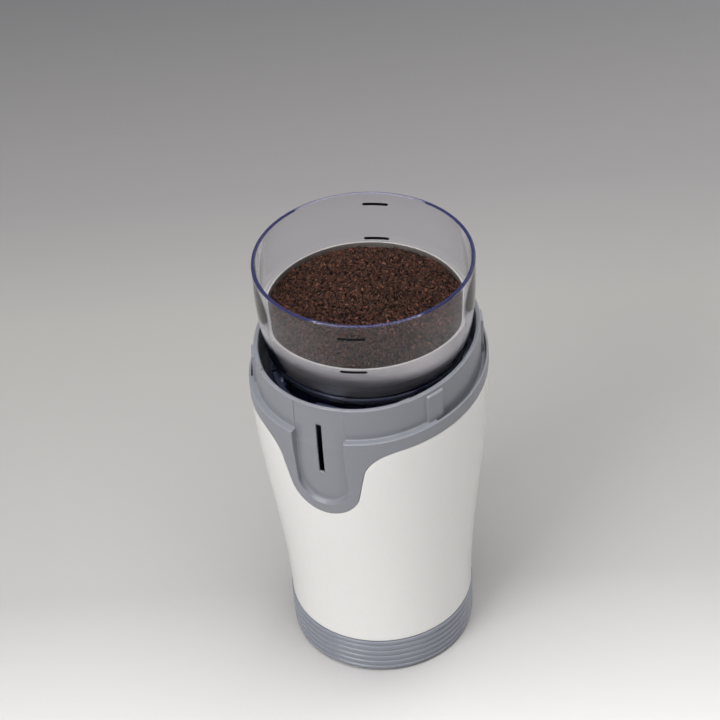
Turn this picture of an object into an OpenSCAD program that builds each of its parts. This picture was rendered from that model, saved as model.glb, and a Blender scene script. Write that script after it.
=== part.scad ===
// Electric spice and coffee grinder with a lift-out grinding chamber.
// Frame: millimetres, +Z up, origin on the table at the middle of the base ring.
// The tongue channel and the switch slot face -Y. Angles named th run from -Y towards +X.

/* [Body] */
// Height of the collar's rim above the table
rim_z = 149.6; // [142:0.2:160]
// Radius of the round body just above the base ring
waist_r = 37; // [35.5:0.5:39]
// Half width of the collar's outer lip, side to side
lip_half_w = 44.8; // [44:0.1:48]
// How much deeper than wide the collar is, on each side of the axis
oval_extra = 5.9; // [4:0.1:7]
// Wall of the white housing shell
shell_wall = 2.2; // [1.6:0.1:3]

/* [Base] */
// How far the rubber feet stand out below the base ring
foot_h = 1.2; // [0.6:0.1:3]
// Height of the ribbed base ring
ring_h = 16.6; // [14:0.2:20]
// How far the base ring stands proud of the body
ring_proud = 1.3; // [0.6:0.1:2]
// Radius that the base ring loses from top to bottom
ring_taper = 1.2; // [0:0.1:2]
// Wall of the base ring under its ribs
ring_wall = 2.6; // [2:0.1:3.4]
// Number of grooves round the base ring
groove_count = 5; // [3:1:6]
// Depth of each groove
groove_depth = 0.7; // [0.4:0.1:0.9]
// Radius of the cord inlet in the back of the base ring
inlet_r = 3.6; // [3.2:0.1:4.5]
// Thickness of the bottom cover
cover_t = 2.4; // [1.8:0.1:3]
// Number of vent slots in the bottom cover
vent_count = 7; // [3:2:7]
// Radius of a rubber foot
foot_r = 4.5; // [3:0.25:5]

/* [Collar] */
// Height of the spigot that the lid goes over
spigot_h = 13.7; // [11:0.1:16]
// Height of the lip band below the ledge
lip_h = 5.9; // [5:0.1:10]
// How far the lip stands out from the spigot
lip_out = 2.8; // [2.4:0.1:3.4]
// Width of the spigot's rim
rim_w = 1.8; // [1.4:0.1:2.2]
// Wall of the spigot below its rim
spigot_wall = 1; // [0.8:0.1:1.2]
// Half width of the tongue channel
channel_half_w = 10.2; // [8.5:0.1:11]
// How far the tongue channel reaches below the lip band
channel_drop = 29; // [26:0.1:31]
// Depth of the tongue channel under the apron's skin
channel_depth = 2.15; // [1.8:0.05:3.2]
// Half width of the apron round the channel
apron_half_w = 14; // [13:0.1:17]
// How far the apron reaches below the lip band
apron_drop = 34.2; // [32:0.1:40]
// Radius of the hollow curves where the apron meets the lip band
apron_fillet = 13.2; // [9:0.1:15]
// Width of the switch slot
slot_w = 1.9; // [1.5:0.1:2.2]
// Height of the switch slot's lower end above the channel's bottom end
slot_lift = 16.4; // [15:0.1:19]
// Length of the switch slot
slot_len = 23.7; // [20:0.1:25]
// Width of each guide pad on the spigot
pad_w = 7.5; // [5:0.1:10]
// How far each guide pad stands out
pad_out = 1; // [0.6:0.1:1.2]
// Angle of the guide pads, from the tongue
pad_th = 56.7; // [50:0.1:68]
// Depth of the groove behind the ledge
groove_z = 3; // [2:0.1:4]

/* [Well] */
// Depth of the well's floor below the rim
well_depth = 20.1; // [19.6:0.1:24]
// Thickness of the well's floor
deck_t = 2.5; // [2:0.1:3.5]
// Wall of the well
well_wall = 0.9; // [0.8:0.1:1]
// Distance from the spigot's face in to the ring that the chamber's skirt sits in
locator_inset = 6.4; // [6:0.1:6.8]
// Height of that ring
locator_h = 7; // [5:0.1:8]

/* [Chamber] */
// Distance from the spigot's face in to the chamber's wall at its foot
chamber_inset = 3.4; // [3:0.1:3.8]
// How far the chamber's wall flares out from its foot to its rim
chamber_flare = 2.7; // [1.4:0.1:3]
// Height of the clear shell from its underside to its rim
chamber_h = 43.5; // [40:0.5:48]
// Radius of the curve between the wall and the underside
chamber_round = 8.5; // [8:0.1:9]
// Wall of the clear shell
chamber_wall = 2; // [1.6:0.1:2.4]
// Depth of the skirt under the shell
skirt_h = 10.9; // [10.5:0.1:11.5]
// Gap between the skirt and the ring that it sits in
skirt_gap = 2.2; // [1.6:0.1:3.1]
// Number of short ribs round the skirt
rib_count = 18; // [9:3:18]
// How far the chamber lifts to clear the well
lift = 60; // [40:1:80]

/* [Bowl and blade] */
// Depth of the steel bowl from its rim to its floor
bowl_h = 19.6; // [16:0.1:21]
// Thickness of the bowl's steel
bowl_t = 0.8; // [0.6:0.1:1]
// Radius of the bowl's lower curve
bowl_round = 8.5; // [7.5:0.1:9.5]
// Tip radius of the blade
blade_r = 27; // [22:0.5:30]
// Width of the blade at its root
blade_w = 11; // [9:0.5:13]
// Thickness of the blade
blade_t = 1.4; // [1:0.1:1.8]
// Angle at which the blade's wings are twisted
blade_twist = 12; // [5:1:18]
// Radius of the blade's shaft
blade_shaft_r = 2.5; // [2:0.1:3]

/* [Drive] */
// Radius of the motor's shaft
shaft_r = 3; // [2.5:0.1:3.5]
// Radial running clearance of a shaft in its bearing
running_gap = 0.03; // [0.02:0.01:0.08]
// Outer radius of both coupling halves
coupling_r = 8.2; // [7.5:0.1:8.5]
// Number of dogs on each coupling half
dog_count = 3; // [2:1:4]
// Height of the coupling dogs
dog_h = 4; // [3:0.1:4.5]
// Gap beside each dog, as an angle
dog_gap = 4; // [3:1:8]

/* [Motor] */
// Width of the stator stack across its flats
stator_w = 52; // [50:0.5:54]
// Gap between the stator stack and the switch bracket in front of it
stator_gap = 2.55; // [1.5:0.05:4.5]
// Height of the stator stack
stator_h = 24; // [20:0.5:28]
// Radius of the armature
armature_r = 14; // [13:0.1:14.2]
// Air gap between the armature and the stator
air_gap = 0.6; // [0.4:0.1:0.8]
// Number of armature slots and of commutator bars
slot_count = 12; // [8:1:14]
// Radius of the commutator
commutator_r = 9; // [8:0.1:9.5]
// Height of the commutator's brush track
commutator_h = 10; // [9:0.5:10]
// Radius of the cooling fan
fan_r = 21; // [17:0.5:21.5]
// Height of the cooling fan
fan_h = 9; // [7:0.5:10]
// Number of fan blades
fan_blades = 9; // [5:1:11]

/* [Switch] */
// Travel of the switch slider
slider_travel = 2.5; // [1.5:0.1:3]
// Width of the switch slider
slider_w = 8.2; // [7:0.1:9]
// Width of the switch body
switch_w = 12; // [10:0.5:13]
// Height of the switch body
switch_h = 14; // [12:0.5:16]

/* [Hidden] */

$fn = 64;
eps = 0.01;
slip = 0.3;        // gap between pieces that move past each other
seat = 0.05;       // gap between pieces that are pressed or pushed together
seam = 0.12;       // fine seam between the housing's outer pieces

// Collar oval: two end arcs and two side arcs that meet without a corner, because their
// centres lie on a 3-4-5 triangle. An offset of 0 is the spigot's outer face.
oval_sides = 96;
spigot_half_w = lip_half_w - lip_out;
spigot_half_d = spigot_half_w + oval_extra;
end_r = spigot_half_w - oval_extra / 2;
end_c = 1.5 * oval_extra;
side_r = end_r + 2.5 * oval_extra;
side_c = 2 * oval_extra;
side_half_angle = atan2(3, 4);

// Heights
base_top = foot_h + ring_h;
ledge_z = rim_z - spigot_h;
lip_z = ledge_z - lip_h;
deck_z = rim_z - well_depth;
deck_under = deck_z - deck_t;

// Body skin
flare_power = 1.5;
shell_steps = 13;
shell_sides = 72;

// Apron and channel
channel_end_z = lip_z - channel_drop;
apron_end_z = lip_z - apron_drop;
floor_t = 1.5;                              // wall behind the channel
floor_run = 12;                             // height over which its floor meets the spigot
apron_t = max(channel_depth, lip_out + 0.2) + floor_t + 0.5;
lip_step = 0.15;                            // the lip band stands proud of the body by this
root_h = 1.5;                               // apron and channel floor run up into the band
apron_flank = 2.1;                          // how far each flank leans out
edge_steps = 8;
slot_z = channel_end_z + slot_lift;
rim_band_h = 1.2;
ledge_t = 5;

// Well
locator_r = spigot_half_w - locator_inset;
well_out = -spigot_wall - 0.2;
well_top_z = rim_z - rim_band_h - 0.2;
locator_t = 1.6;
lug_angles = [90, 210, 330];
lug_w = 5;
dam_r = coupling_r + 1;
dam_t = 1.5;
dam_h = 1.5;
seal_r = 10.5;
seal_h = 3;

// Switch slider and its guide, from the spigot's front face
front_y = -spigot_half_d;
slider_y = front_y + 8.3;
slider_t = 2.1;
slider_nose = 2.4;
guide_wall = 1;
guide_back_y = slider_y + slider_t + slip;
guide_drop = 18;
guide_top_z = slot_z + slot_len;
slider_top_z = slot_z + 4;
slider_foot_z = channel_end_z + slider_travel - 1.7;
foot_plate_t = 2;
foot_plate_in = 8;
foot_plate_half_w = 9.5;
switch_top_z = slider_foot_z - slider_travel - 0.5;
switch_y = slider_y + 3;
switch_d = 9;
plunger_y = switch_y + switch_d / 2;
plunger_r = 1.8;
bracket_t = 2;
bracket_y = switch_y + switch_d + seat;
stator_d = -2 * (bracket_y + bracket_t + stator_gap);
bracket_half_w = 12;
spring_r = 2;
spring_wire = 0.3;
spring_turns = 5;
spring_x = switch_w / 2 + spring_r + 0.6;
shelf_z = slider_foot_z - 10;

// Chamber
chamber_foot_r = spigot_half_w - chamber_inset;
chamber_rim_r = chamber_foot_r + chamber_flare;
skirt_r = locator_r - skirt_gap;
chamber_z = deck_z + seat + skirt_h;
chamber_rim_z = chamber_z + chamber_h;
foot_edge_r = chamber_foot_r - chamber_round;
foot_edge_z = chamber_z + chamber_round;
boss_r = 9;
boss_drop = 2.1;
boss_rise = 6.5;
bushing_r = 5.5;
skirt_t = 1.8;
bowl_floor_z = chamber_z + chamber_wall + slip;
bowl_rim_z = bowl_floor_z + bowl_h;
blade_z = chamber_z + boss_rise + 0.9;

// Motor stack, from the well's floor down
bearing_h = 6;
bearing_r = 8;
post_len = 20;
post_r = 3.5;
post_at = 27;
post_angles = [90, 210, 330];
plate_t = 3;
upper_plate_z = deck_under - post_len - 1.5 - plate_t;
stator_top_z = upper_plate_z - 12;
stator_z = stator_top_z - stator_h;
lower_plate_z = stator_z - 22;
commutator_z = lower_plate_z + plate_t + 3.4;
brush_z = commutator_z + commutator_h / 2;
fan_z = lower_plate_z - bearing_h / 2 - 1 - fan_h;
bolt_at = stator_w / 2 - 3;
bolt_r = 1.5;
standoff_r = 2.9;
coil_in = armature_r + air_gap + 0.4;
coil_out = bolt_at - standoff_r - slip;
coil_end_h = 5;
coupling_top_z = deck_z + 1.5;
driven_z = coupling_top_z + dog_h + slip;
cover_z = foot_h + 0.6;
leg_angles = [30, 150, 270];
leg_at = 26.5;
leg_r = 3.4;
brush_w = 5;

// ---------------------------------------------------------------- shared shapes

// Distance along direction u from the origin to a circle's far side
function ray_hit(c, r, u) = c * u + sqrt(pow(c * u, 2) + r * r - c * c);

// Polar radius of the collar oval that lies off millimetres outside the spigot
function oval_r(th, off) =
    let (
        u = [abs(sin(th)), abs(cos(th))],
        s = ray_hit([-side_c, 0], side_r + off, u),
        on_side = atan2(s * u[1], s * u[0] + side_c) <= side_half_angle
    )
    on_side ? s : ray_hit([0, end_c], end_r + off, u);

function rise(z) = min(1, max(0, (z - base_top) / (lip_z - base_top)));
function smooth(u) = u * u * (3 - 2 * u);

// Radius of the body's outer skin: round at the waist, oval at the lip
function body_r(th, z) =
    waist_r + (lip_half_w - lip_step - waist_r) * smooth(rise(z))
    + (oval_r(th, lip_out) - lip_half_w) * pow(rise(z), flare_power);

function polar(r, th, z) = [r * sin(th), -r * cos(th), z];

// Direction in which the body's skin stands over x at height z
function th_at(x, z) =
    let (t1 = asin(x / body_r(0, z)), t2 = asin(x / body_r(t1, z)))
    asin(x / body_r(t2, z));

function chord_y(r, x) = -sqrt(r * r - x * x);
function skin_y(x, z) = chord_y(body_r(th_at(x, z), z), x);

// The channel's depth, which ends level with the spigot
function depth_at(z) = channel_depth
    + (lip_out + 0.2 - channel_depth) * min(1, max(0, (z - lip_z) / floor_run + 1));
function floor_y(x, z) = chord_y(body_r(th_at(x, z), z) - depth_at(z), x);

function flat(rows) = [for (row = rows) each row];

// A solid between two grids of points with the same rows and columns
module slab(front, back) {
    rows = len(front);
    cols = len(front[0]);
    half = rows * cols;
    function quad(a, b, c, d) = [[a, c, b], [a, d, c]];
    function at(i, j) = i * cols + j;
    sheet = [for (i = [0 : rows - 2], j = [0 : cols - 2])
        each quad(at(i, j), at(i, j + 1), at(i + 1, j + 1), at(i + 1, j))];
    far = [for (f = sheet) [f[2], f[1], f[0]] + [half, half, half]];
    low = [for (j = [0 : cols - 2])
        each quad(at(0, j + 1), at(0, j), at(0, j) + half, at(0, j + 1) + half)];
    high = [for (j = [0 : cols - 2])
        each quad(at(rows - 1, j), at(rows - 1, j + 1),
                  at(rows - 1, j + 1) + half, at(rows - 1, j) + half)];
    first = [for (i = [0 : rows - 2])
        each quad(at(i, 0), at(i + 1, 0), at(i + 1, 0) + half, at(i, 0) + half)];
    last = [for (i = [0 : rows - 2])
        each quad(at(i + 1, cols - 1), at(i, cols - 1),
                  at(i, cols - 1) + half, at(i + 1, cols - 1) + half)];
    polyhedron(concat(flat(front), flat(back)), concat(sheet, far, low, high, first, last));
}

function oval(off) = [for (k = [0 : oval_sides - 1]) let (th = 360 * k / oval_sides)
    oval_r(th, off) * [sin(th), -cos(th)]];

module oval_plate(off, z0, z1)
    translate([0, 0, z0]) linear_extrude(height = z1 - z0) polygon(oval(off));

module oval_ring(out, in, z0, z1)
    translate([0, 0, z0]) linear_extrude(height = z1 - z0) difference() {
        polygon(oval(out));
        polygon(oval(in));
    }

// A wedge that reaches half_angle to each side of the tongue's direction
module wedge(half_angle, z0, z1)
    translate([0, 0, z0]) linear_extrude(height = z1 - z0)
        polygon([[0, 0], for (k = [-3 : 3]) 80 * [sin(k * half_angle / 3), -cos(k * half_angle / 3)]]);

module tube(r_out, r_in, z0, z1) {
    difference() {
        translate([0, 0, z0]) cylinder(r = r_out, h = z1 - z0);
        translate([0, 0, z0 - 1]) cylinder(r = r_in, h = z1 - z0 + 2);
    }
}

module disc(r, z0, z1) translate([0, 0, z0]) cylinder(r = r, h = z1 - z0);

// A ring sector between two radii, from one angle over a span
module sector(r_in, r_out, z0, z1, from, span)
    rotate([0, 0, from]) rotate_extrude(angle = span)
        translate([r_in, z0]) square([r_out - r_in, z1 - z0]);

module box(x0, x1, y0, y1, z0, z1) translate([x0, y0, z0]) cube([x1 - x0, y1 - y0, z1 - z0]);

module at_angles(angles, radius)
    for (a = angles) rotate([0, 0, a]) translate([radius, 0, 0]) children();

// A round wire of radius r through points, as one solid. The wire is never parallel to ref.
module wire(points, r, ref = [0, 0, 1], sides = 6) {
    n = len(points) - 1;
    function unit(v) = v / norm(v);
    rings = [for (i = [0 : n])
        let (t = unit(points[min(n, i + 1)] - points[max(0, i - 1)]),
             u = unit(cross(t, ref)), w = cross(t, u))
        [for (k = [0 : sides - 1]) let (a = 360 * k / sides) points[i] + r * (cos(a) * u + sin(a) * w)]];
    skin = [for (i = [0 : n - 1], k = [0 : sides - 1])
        let (a = i * sides + k, b = i * sides + (k + 1) % sides)
        each [[a, a + sides, b + sides], [a, b + sides, b]]];
    caps = [[for (k = [0 : sides - 1]) k], [for (k = [sides - 1 : -1 : 0]) n * sides + k]];
    polyhedron(flat(rings), concat(skin, caps));
}

function coil(r, wire_r, turns, h, per_turn = 10) = [for (i = [0 : turns * per_turn])
    let (a = 360 * i / per_turn)
    [r * cos(a), r * sin(a), wire_r + (h - 2 * wire_r) * i / (turns * per_turn)]];

function bend(p, steps = 12) = [for (i = [0 : steps]) let (t = i / steps, q = 1 - t)
    q * q * q * p[0] + 3 * q * q * t * p[1] + 3 * q * t * t * p[2] + t * t * t * p[3]];

// ---------------------------------------------------------------- housing

// Half of the apron's outline in x and z, from its lowest point to the lip band
function apron_edge(grow = 0) = concat(
    [for (i = [0 : edge_steps]) let (a = 8 + 82 * i / edge_steps)
        [0, apron_end_z + apron_half_w] + (apron_half_w + grow) * [sin(a), -cos(a)]],
    [for (i = [0 : edge_steps]) let (b = 90 * i / edge_steps)
        [apron_half_w + apron_flank + apron_fillet, lip_z - apron_fillet]
        + (apron_fillet - grow) * [-cos(b), sin(b)]],
    [[apron_half_w + apron_flank + apron_fillet, lip_z + root_h]]
);

// The same for the channel, with as many points
function channel_edge() = concat(
    [for (i = [0 : edge_steps]) let (a = 8 + 82 * i / edge_steps)
        [channel_half_w * sin(a), channel_end_z + channel_half_w * (1 - cos(a))]],
    [for (i = [0 : edge_steps]) let (z = channel_end_z + channel_half_w)
        [channel_half_w, z + (lip_z - z) * (i + 1) / (edge_steps + 1)]],
    [[channel_half_w, lip_z + root_h]]
);

function mirrored(edge) = concat(
    [for (i = [len(edge) - 1 : -1 : 0]) [-edge[i][0], edge[i][1]]], edge);

module shell_loft(inset) {
    low_z = base_top + seat;
    zs = [for (i = [0 : shell_steps]) low_z + (lip_z - seam - low_z) * i / shell_steps];
    rings = [for (z = zs) [for (k = [0 : shell_sides - 1])
        let (th = 360 * k / shell_sides) polar(body_r(th, z) - inset, th, z)]];
    side = [for (i = [0 : shell_steps - 1], k = [0 : shell_sides - 1])
        let (a = i * shell_sides + k, b = i * shell_sides + (k + 1) % shell_sides)
        each [[a, b + shell_sides, b], [a, a + shell_sides, b + shell_sides]]];
    low = [[for (k = [0 : shell_sides - 1]) k]];
    high = [[for (k = [shell_sides - 1 : -1 : 0]) shell_steps * shell_sides + k]];
    polyhedron(flat(rings), concat(side, low, high));
}

module housing_shell() {
    color("white") difference() {
        shell_loft(0);
        shell_loft(shell_wall);
        rotate([90, 0, 0]) linear_extrude(height = 2 * spigot_half_d)
            polygon(mirrored(apron_edge(seam)));
    }
}

// The apron beside and below the channel, level with the body's skin
module apron_band() {
    across = 5;
    outer = mirrored(apron_edge());
    inner = mirrored(channel_edge());
    function between(i, j) = inner[i] + (outer[i] - inner[i]) * j / across;
    function face(push) = [for (i = [0 : len(outer) - 1]) [for (j = [0 : across])
        let (p = between(i, j)) [p[0], skin_y(p[0], p[1]) + push, p[1]]]];
    slab(face(0), face(apron_t));
}

// The channel's floor below the lip band
module channel_floor() {
    across = 6;
    edge = channel_edge();
    function face(push) = [for (e = edge) [for (j = [0 : across])
        let (x = e[0] * (2 * j / across - 1)) [x, floor_y(x, e[1]) + push, e[1]]]];
    slab(face(0), face(floor_t));
}

module slot_cut()
    translate([-slot_w / 2, front_y - lip_out, slot_z])
        cube([slot_w, 8, slot_len]);

module guide_pads() {
    intersection() {
        oval_ring(pad_out, -0.5, ledge_z - groove_z - 1, rim_z - 1.4);
        for (a = [pad_th, 180 - pad_th, 180 + pad_th, -pad_th])
            rotate([0, 0, a - 90]) translate([0, -pad_w / 2, ledge_z - groove_z - 2])
                cube([2 * spigot_half_d, pad_w, spigot_h + groove_z + 4]);
    }
}

// The lip band: hollow from below, with a ledge on top and a channel through its front
module lip_band() {
    difference() {
        oval_ring(lip_out, -0.5, lip_z, ledge_z);
        box(-channel_half_w - 0.1, channel_half_w + 0.1, -60, 0, lip_z - 1, ledge_z + 1);
        difference() {
            oval_ring(lip_out - 1.6, 0, lip_z - 1, ledge_z - ledge_t);
            box(-channel_half_w - 2, channel_half_w + 2, -60, 0, lip_z - 2, ledge_z);
        }
        // Groove behind the ledge, from pad to pad round the back
        difference() {
            oval_ring(lip_out - 0.9, 0, ledge_z - groove_z, ledge_z + 1);
            wedge(pad_th, ledge_z - groove_z - 1, ledge_z + 2);
        }
    }
}

module top_collar() {
    color("slategray") difference() {
        union() {
            oval_plate(0, lip_z, rim_z);
            oval_plate(-0.5, lip_z - 2, lip_z);
            lip_band();
            guide_pads();
            apron_band();
            channel_floor();
        }
        oval_plate(-spigot_wall, lip_z - 3, rim_z - rim_band_h);
        oval_plate(-rim_w, rim_z - rim_band_h - 1, rim_z + 1);
        slot_cut();
    }
}

// ---------------------------------------------------------------- well

module chamber_well() {
    color([0.06, 0.07, 0.1]) difference() {
        union() {
            oval_ring(well_out, well_out - well_wall, deck_under, well_top_z);
            oval_plate(well_out - well_wall / 2, deck_under, deck_z);
            disc(seal_r + 2, deck_under - seal_h, deck_under + 1);
            at_angles(post_angles, post_at) disc(post_r, deck_under - post_len, deck_under + 1);
            // Guide and guard for the switch slider
            box(-slider_w / 2 - slip - guide_wall, slider_w / 2 + slip + guide_wall,
                front_y + spigot_wall + 1, guide_back_y + guide_wall, deck_under, guide_top_z);
            box(-slider_w / 2 - slip - guide_wall, slider_w / 2 + slip + guide_wall,
                slider_y, guide_back_y + guide_wall, deck_under - guide_drop, deck_z);
        }
        box(-slider_w / 2 - slip, slider_w / 2 + slip, front_y + spigot_wall, guide_back_y,
            deck_under - guide_drop - 1, guide_top_z - guide_wall);
        disc(dam_r, deck_under - 1, deck_z + 1);
        disc(seal_r, deck_under - seal_h - 1, deck_under + 0.5);
        at_angles(post_angles, post_at)
            disc(bolt_r, deck_under - post_len - 1, deck_under - 4);
    }
}

// The ring that guides the chamber's skirt, with a slot for each of its lugs
module locator_ring() {
    lug_slot_w = lug_w + 2 * slip;
    guide_half_w = slider_w / 2 + slip + guide_wall + seat;
    color([0.06, 0.07, 0.1]) difference() {
        tube(locator_r + locator_t, locator_r, deck_z + seat, deck_z + locator_h);
        // Flat behind the slider's guide
        box(-guide_half_w, guide_half_w, front_y, guide_back_y + guide_wall + seat,
            deck_z - 1, deck_z + locator_h + 1);
        at_angles(lug_angles, skirt_r)
            box(-1, locator_r, -lug_slot_w / 2, lug_slot_w / 2, deck_z + 0.9, deck_z + locator_h + 1);
    }
}

// Keeps spilt grounds out of the shaft's opening
module drip_collar() {
    color([0.06, 0.07, 0.1]) tube(dam_r + dam_t, dam_r, deck_z + seat, deck_z + dam_h);
}

module well_seal() {
    color([0.1, 0.1, 0.1])
        tube(seal_r - seat, 5.5 + slip, deck_under - seal_h, deck_under + 0.5 - seat);
}

// ---------------------------------------------------------------- base

ring_r = waist_r + ring_proud;
ring_in_r = ring_r - ring_taper - groove_depth - ring_wall;

module base_ring() {
    pitch = ring_h / (groove_count + 0.6);
    function side_r(z) = ring_r - ring_taper * pow(1 - (z - foot_h) / ring_h, 2);
    profile = concat(
        [[ring_in_r, foot_h + 0.6], [side_r(foot_h) - 1.4, foot_h], [side_r(foot_h) - 0.4, foot_h + 0.4]],
        [for (i = [0 : groove_count - 1]) let (z = foot_h + pitch * (i + 0.75))
            each [[side_r(z - 0.75), z - 0.75], [side_r(z) - groove_depth, z - 0.35],
                  [side_r(z) - groove_depth, z + 0.35], [side_r(z + 0.75), z + 0.75]]],
        [[side_r(base_top - 0.5), base_top - 0.5], [ring_r - 0.5, base_top],
         [waist_r - shell_wall - slip, base_top], [waist_r - shell_wall - slip, base_top + 4],
         [ring_in_r, base_top + 4]]
    );
    color([0.5, 0.52, 0.58]) difference() {
        union() {
            rotate_extrude() polygon(profile);
            tube(ring_in_r + 1, ring_in_r - 2, cover_z + cover_t + seat, cover_z + cover_t + 2);
        }
        translate([0, 0, foot_h + ring_h / 2]) rotate([-90, 0, 0]) cylinder(r = inlet_r, h = 2 * ring_r);
    }
}

module bottom_cover() {
    slot_half = 12;
    color([0.3, 0.31, 0.33]) difference() {
        union() {
            disc(ring_in_r - slip, cover_z, cover_z + cover_t);
            at_angles(leg_angles, leg_at) disc(leg_r + 1.5, cover_z, cover_z + cover_t + 2);
        }
        for (i = [0 : vent_count - 1]) {
            x = (i - (vent_count - 1) / 2) * 5;
            box(x - 1.1, x + 1.1, -slot_half, slot_half, cover_z - 1, cover_z + cover_t + 1);
        }
        at_angles(leg_angles, leg_at) {
            disc(bolt_r + 0.2, cover_z - 1, cover_z + cover_t + 3);
            disc(3.4, cover_z - 1, cover_z + 1.6);
        }
        at_angles([for (a = leg_angles) a + 60], leg_at) disc(foot_r, cover_z - 1, cover_z + 0.8);
    }
}

module rubber_feet() {
    color([0.12, 0.12, 0.13]) at_angles([for (a = leg_angles) a + 60], leg_at)
        union() {
            cylinder(r1 = foot_r - 0.8, r2 = foot_r - seat, h = 0.6);
            translate([0, 0, 0.6]) cylinder(r = foot_r - seat, h = cover_z + 0.8 - seat - 0.6);
        }
}

// A pan-head screw that points up, with a cross recess
module screw(head_z, length, head_r = 2.9, head_h = 1.5) {
    difference() {
        union() {
            disc(head_r, head_z - head_h, head_z);
            disc(bolt_r - seat, head_z - eps, head_z + length);
        }
        for (a = [0, 90]) rotate([0, 0, a])
            box(-1.6, 1.6, -0.35, 0.35, head_z - head_h - 1, head_z - head_h + 0.9);
    }
}

module cover_screws() {
    color("silver") at_angles(leg_angles, leg_at) screw(cover_z + 1.6, 12);
}

// ---------------------------------------------------------------- motor

module upper_bracket() {
    plate_top = upper_plate_z + plate_t;
    color([0.75, 0.76, 0.78]) difference() {
        union() {
            disc(bearing_r + 3, upper_plate_z - bearing_h / 2, plate_top);
            for (a = post_angles) rotate([0, 0, a]) {
                box(0, post_at, -5, 5, upper_plate_z, plate_top);
                translate([post_at, 0, 0]) disc(6.5, upper_plate_z, plate_top);
            }
            box(-bolt_at, bolt_at, -4, 4, upper_plate_z, plate_top);
            at_angles([0, 180], bolt_at) {
                disc(4, upper_plate_z, plate_top);
                disc(standoff_r, stator_top_z, upper_plate_z + 1);
            }
        }
        disc(bearing_r, upper_plate_z - bearing_h / 2 - 1, upper_plate_z + bearing_h / 2);
        disc(shaft_r + 1.5, upper_plate_z, plate_top + 1);
        at_angles(post_angles, post_at) disc(4.5, upper_plate_z - 1, plate_top + 1);
        at_angles([0, 180], bolt_at) disc(bolt_r, stator_top_z - 1, plate_top + 1);
    }
}

module lower_bracket() {
    plate_top = lower_plate_z + plate_t;
    color([0.75, 0.76, 0.78]) difference() {
        union() {
            disc(bearing_r + 3, lower_plate_z - bearing_h / 2, plate_top);
            for (a = leg_angles) rotate([0, 0, a]) box(0, leg_at, -4.5, 4.5, lower_plate_z, plate_top);
            at_angles(leg_angles, leg_at) disc(leg_r, cover_z + cover_t + 2, plate_top);
            box(-bolt_at, bolt_at, -4, 4, lower_plate_z, plate_top);
            box(-5, 5, -leg_at, leg_at, lower_plate_z, plate_top);
            at_angles([0, 180], bolt_at) {
                disc(4, lower_plate_z, plate_top);
                disc(standoff_r, lower_plate_z, stator_z);
            }
        }
        disc(bearing_r, lower_plate_z - bearing_h / 2, plate_top + 1);
        disc(shaft_r + 1.5, lower_plate_z - bearing_h, plate_top);
        at_angles(leg_angles, leg_at) disc(bolt_r, cover_z, cover_z + 20);
        at_angles([0, 180], bolt_at) disc(bolt_r, lower_plate_z - 1, stator_z + 1);
    }
}

module bearing(z) {
    color("goldenrod") tube(bearing_r - seat, shaft_r + running_gap, z, z + bearing_h);
}

module upper_bearing() bearing(upper_plate_z - bearing_h / 2);

module lower_bearing() bearing(lower_plate_z - bearing_h / 2 + 0.01);

module motor_stator() {
    color([0.45, 0.46, 0.5]) difference() {
        intersection() {
            disc(0.58 * stator_w, stator_z, stator_top_z);
            box(-stator_w / 2, stator_w / 2, -stator_d / 2, stator_d / 2, stator_z, stator_top_z);
        }
        disc(armature_r + air_gap, stator_z - 1, stator_top_z + 1);
        for (a = [0, 180]) sector(armature_r, coil_out + 0.2, stator_z - 1, stator_top_z + 1, a - 40, 80);
        at_angles([0, 180], bolt_at) disc(bolt_r, stator_z - 1, stator_top_z + 1);
    }
}

module field_coils() {
    leg_span = 24;
    color([0.72, 0.35, 0.15]) for (a = [0, 180]) rotate([0, 0, a]) {
        for (from = [14.5, 165.5 - leg_span])
            sector(coil_in + 0.2, coil_out - 0.2, stator_z - 1, stator_top_z + 1, from, leg_span);
        for (z = [stator_z - coil_end_h, stator_top_z + seat])
            sector(coil_in, coil_out, z, z + coil_end_h - seat, 14, 152);
    }
}

module motor_bolts() {
    top_z = upper_plate_z + plate_t;
    color("silver") at_angles([0, 180], bolt_at) {
        disc(bolt_r - seat, lower_plate_z - 2, top_z);
        disc(2.8, top_z, top_z + 1.8);
        translate([0, 0, lower_plate_z - 2.2]) cylinder(r = 3, h = 2.2, $fn = 6);
    }
}

module mount_grommets() {
    color([0.1, 0.1, 0.1]) at_angles(post_angles, post_at) difference() {
        union() {
            disc(4.5 - seat, upper_plate_z - 1.5, upper_plate_z + plate_t + 1.5);
            disc(6.2, upper_plate_z - 1.5, upper_plate_z);
            disc(6.2, upper_plate_z + plate_t, upper_plate_z + plate_t + 1.5);
        }
        disc(bolt_r + 0.3, upper_plate_z - 2, upper_plate_z + plate_t + 2);
    }
}

module mount_screws() {
    color("silver") at_angles(post_angles, post_at) screw(upper_plate_z - 1.5, plate_t + 14);
}

module brush_holders() {
    z0 = lower_plate_z + plate_t;
    color([0.2, 0.18, 0.16]) for (a = [0, 180]) rotate([0, 0, a]) difference() {
        box(-brush_w / 2 - 2, brush_w / 2 + 2, commutator_r + 3, 27, z0, brush_z + 5);
        box(-brush_w / 2 - 0.1, brush_w / 2 + 0.1, commutator_r, 25.5, brush_z - 3.1, brush_z + 3.1);
    }
}

module carbon_brushes() {
    color([0.15, 0.15, 0.16]) for (a = [0, 180]) rotate([0, 0, a]) difference() {
        box(-brush_w / 2, brush_w / 2, commutator_r - 1, 19, brush_z - 3, brush_z + 3);
        disc(commutator_r + 0.15, brush_z - 4, brush_z + 4);
    }
}

module brush_springs() {
    color("silver") for (a = [0, 180]) rotate([0, 0, a])
        translate([0, 19 + seat, brush_z]) rotate([-90, 0, 0])
            wire(coil(2, 0.3, 4, 6.4), 0.3);
}

// ---------------------------------------------------------------- switch

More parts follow.
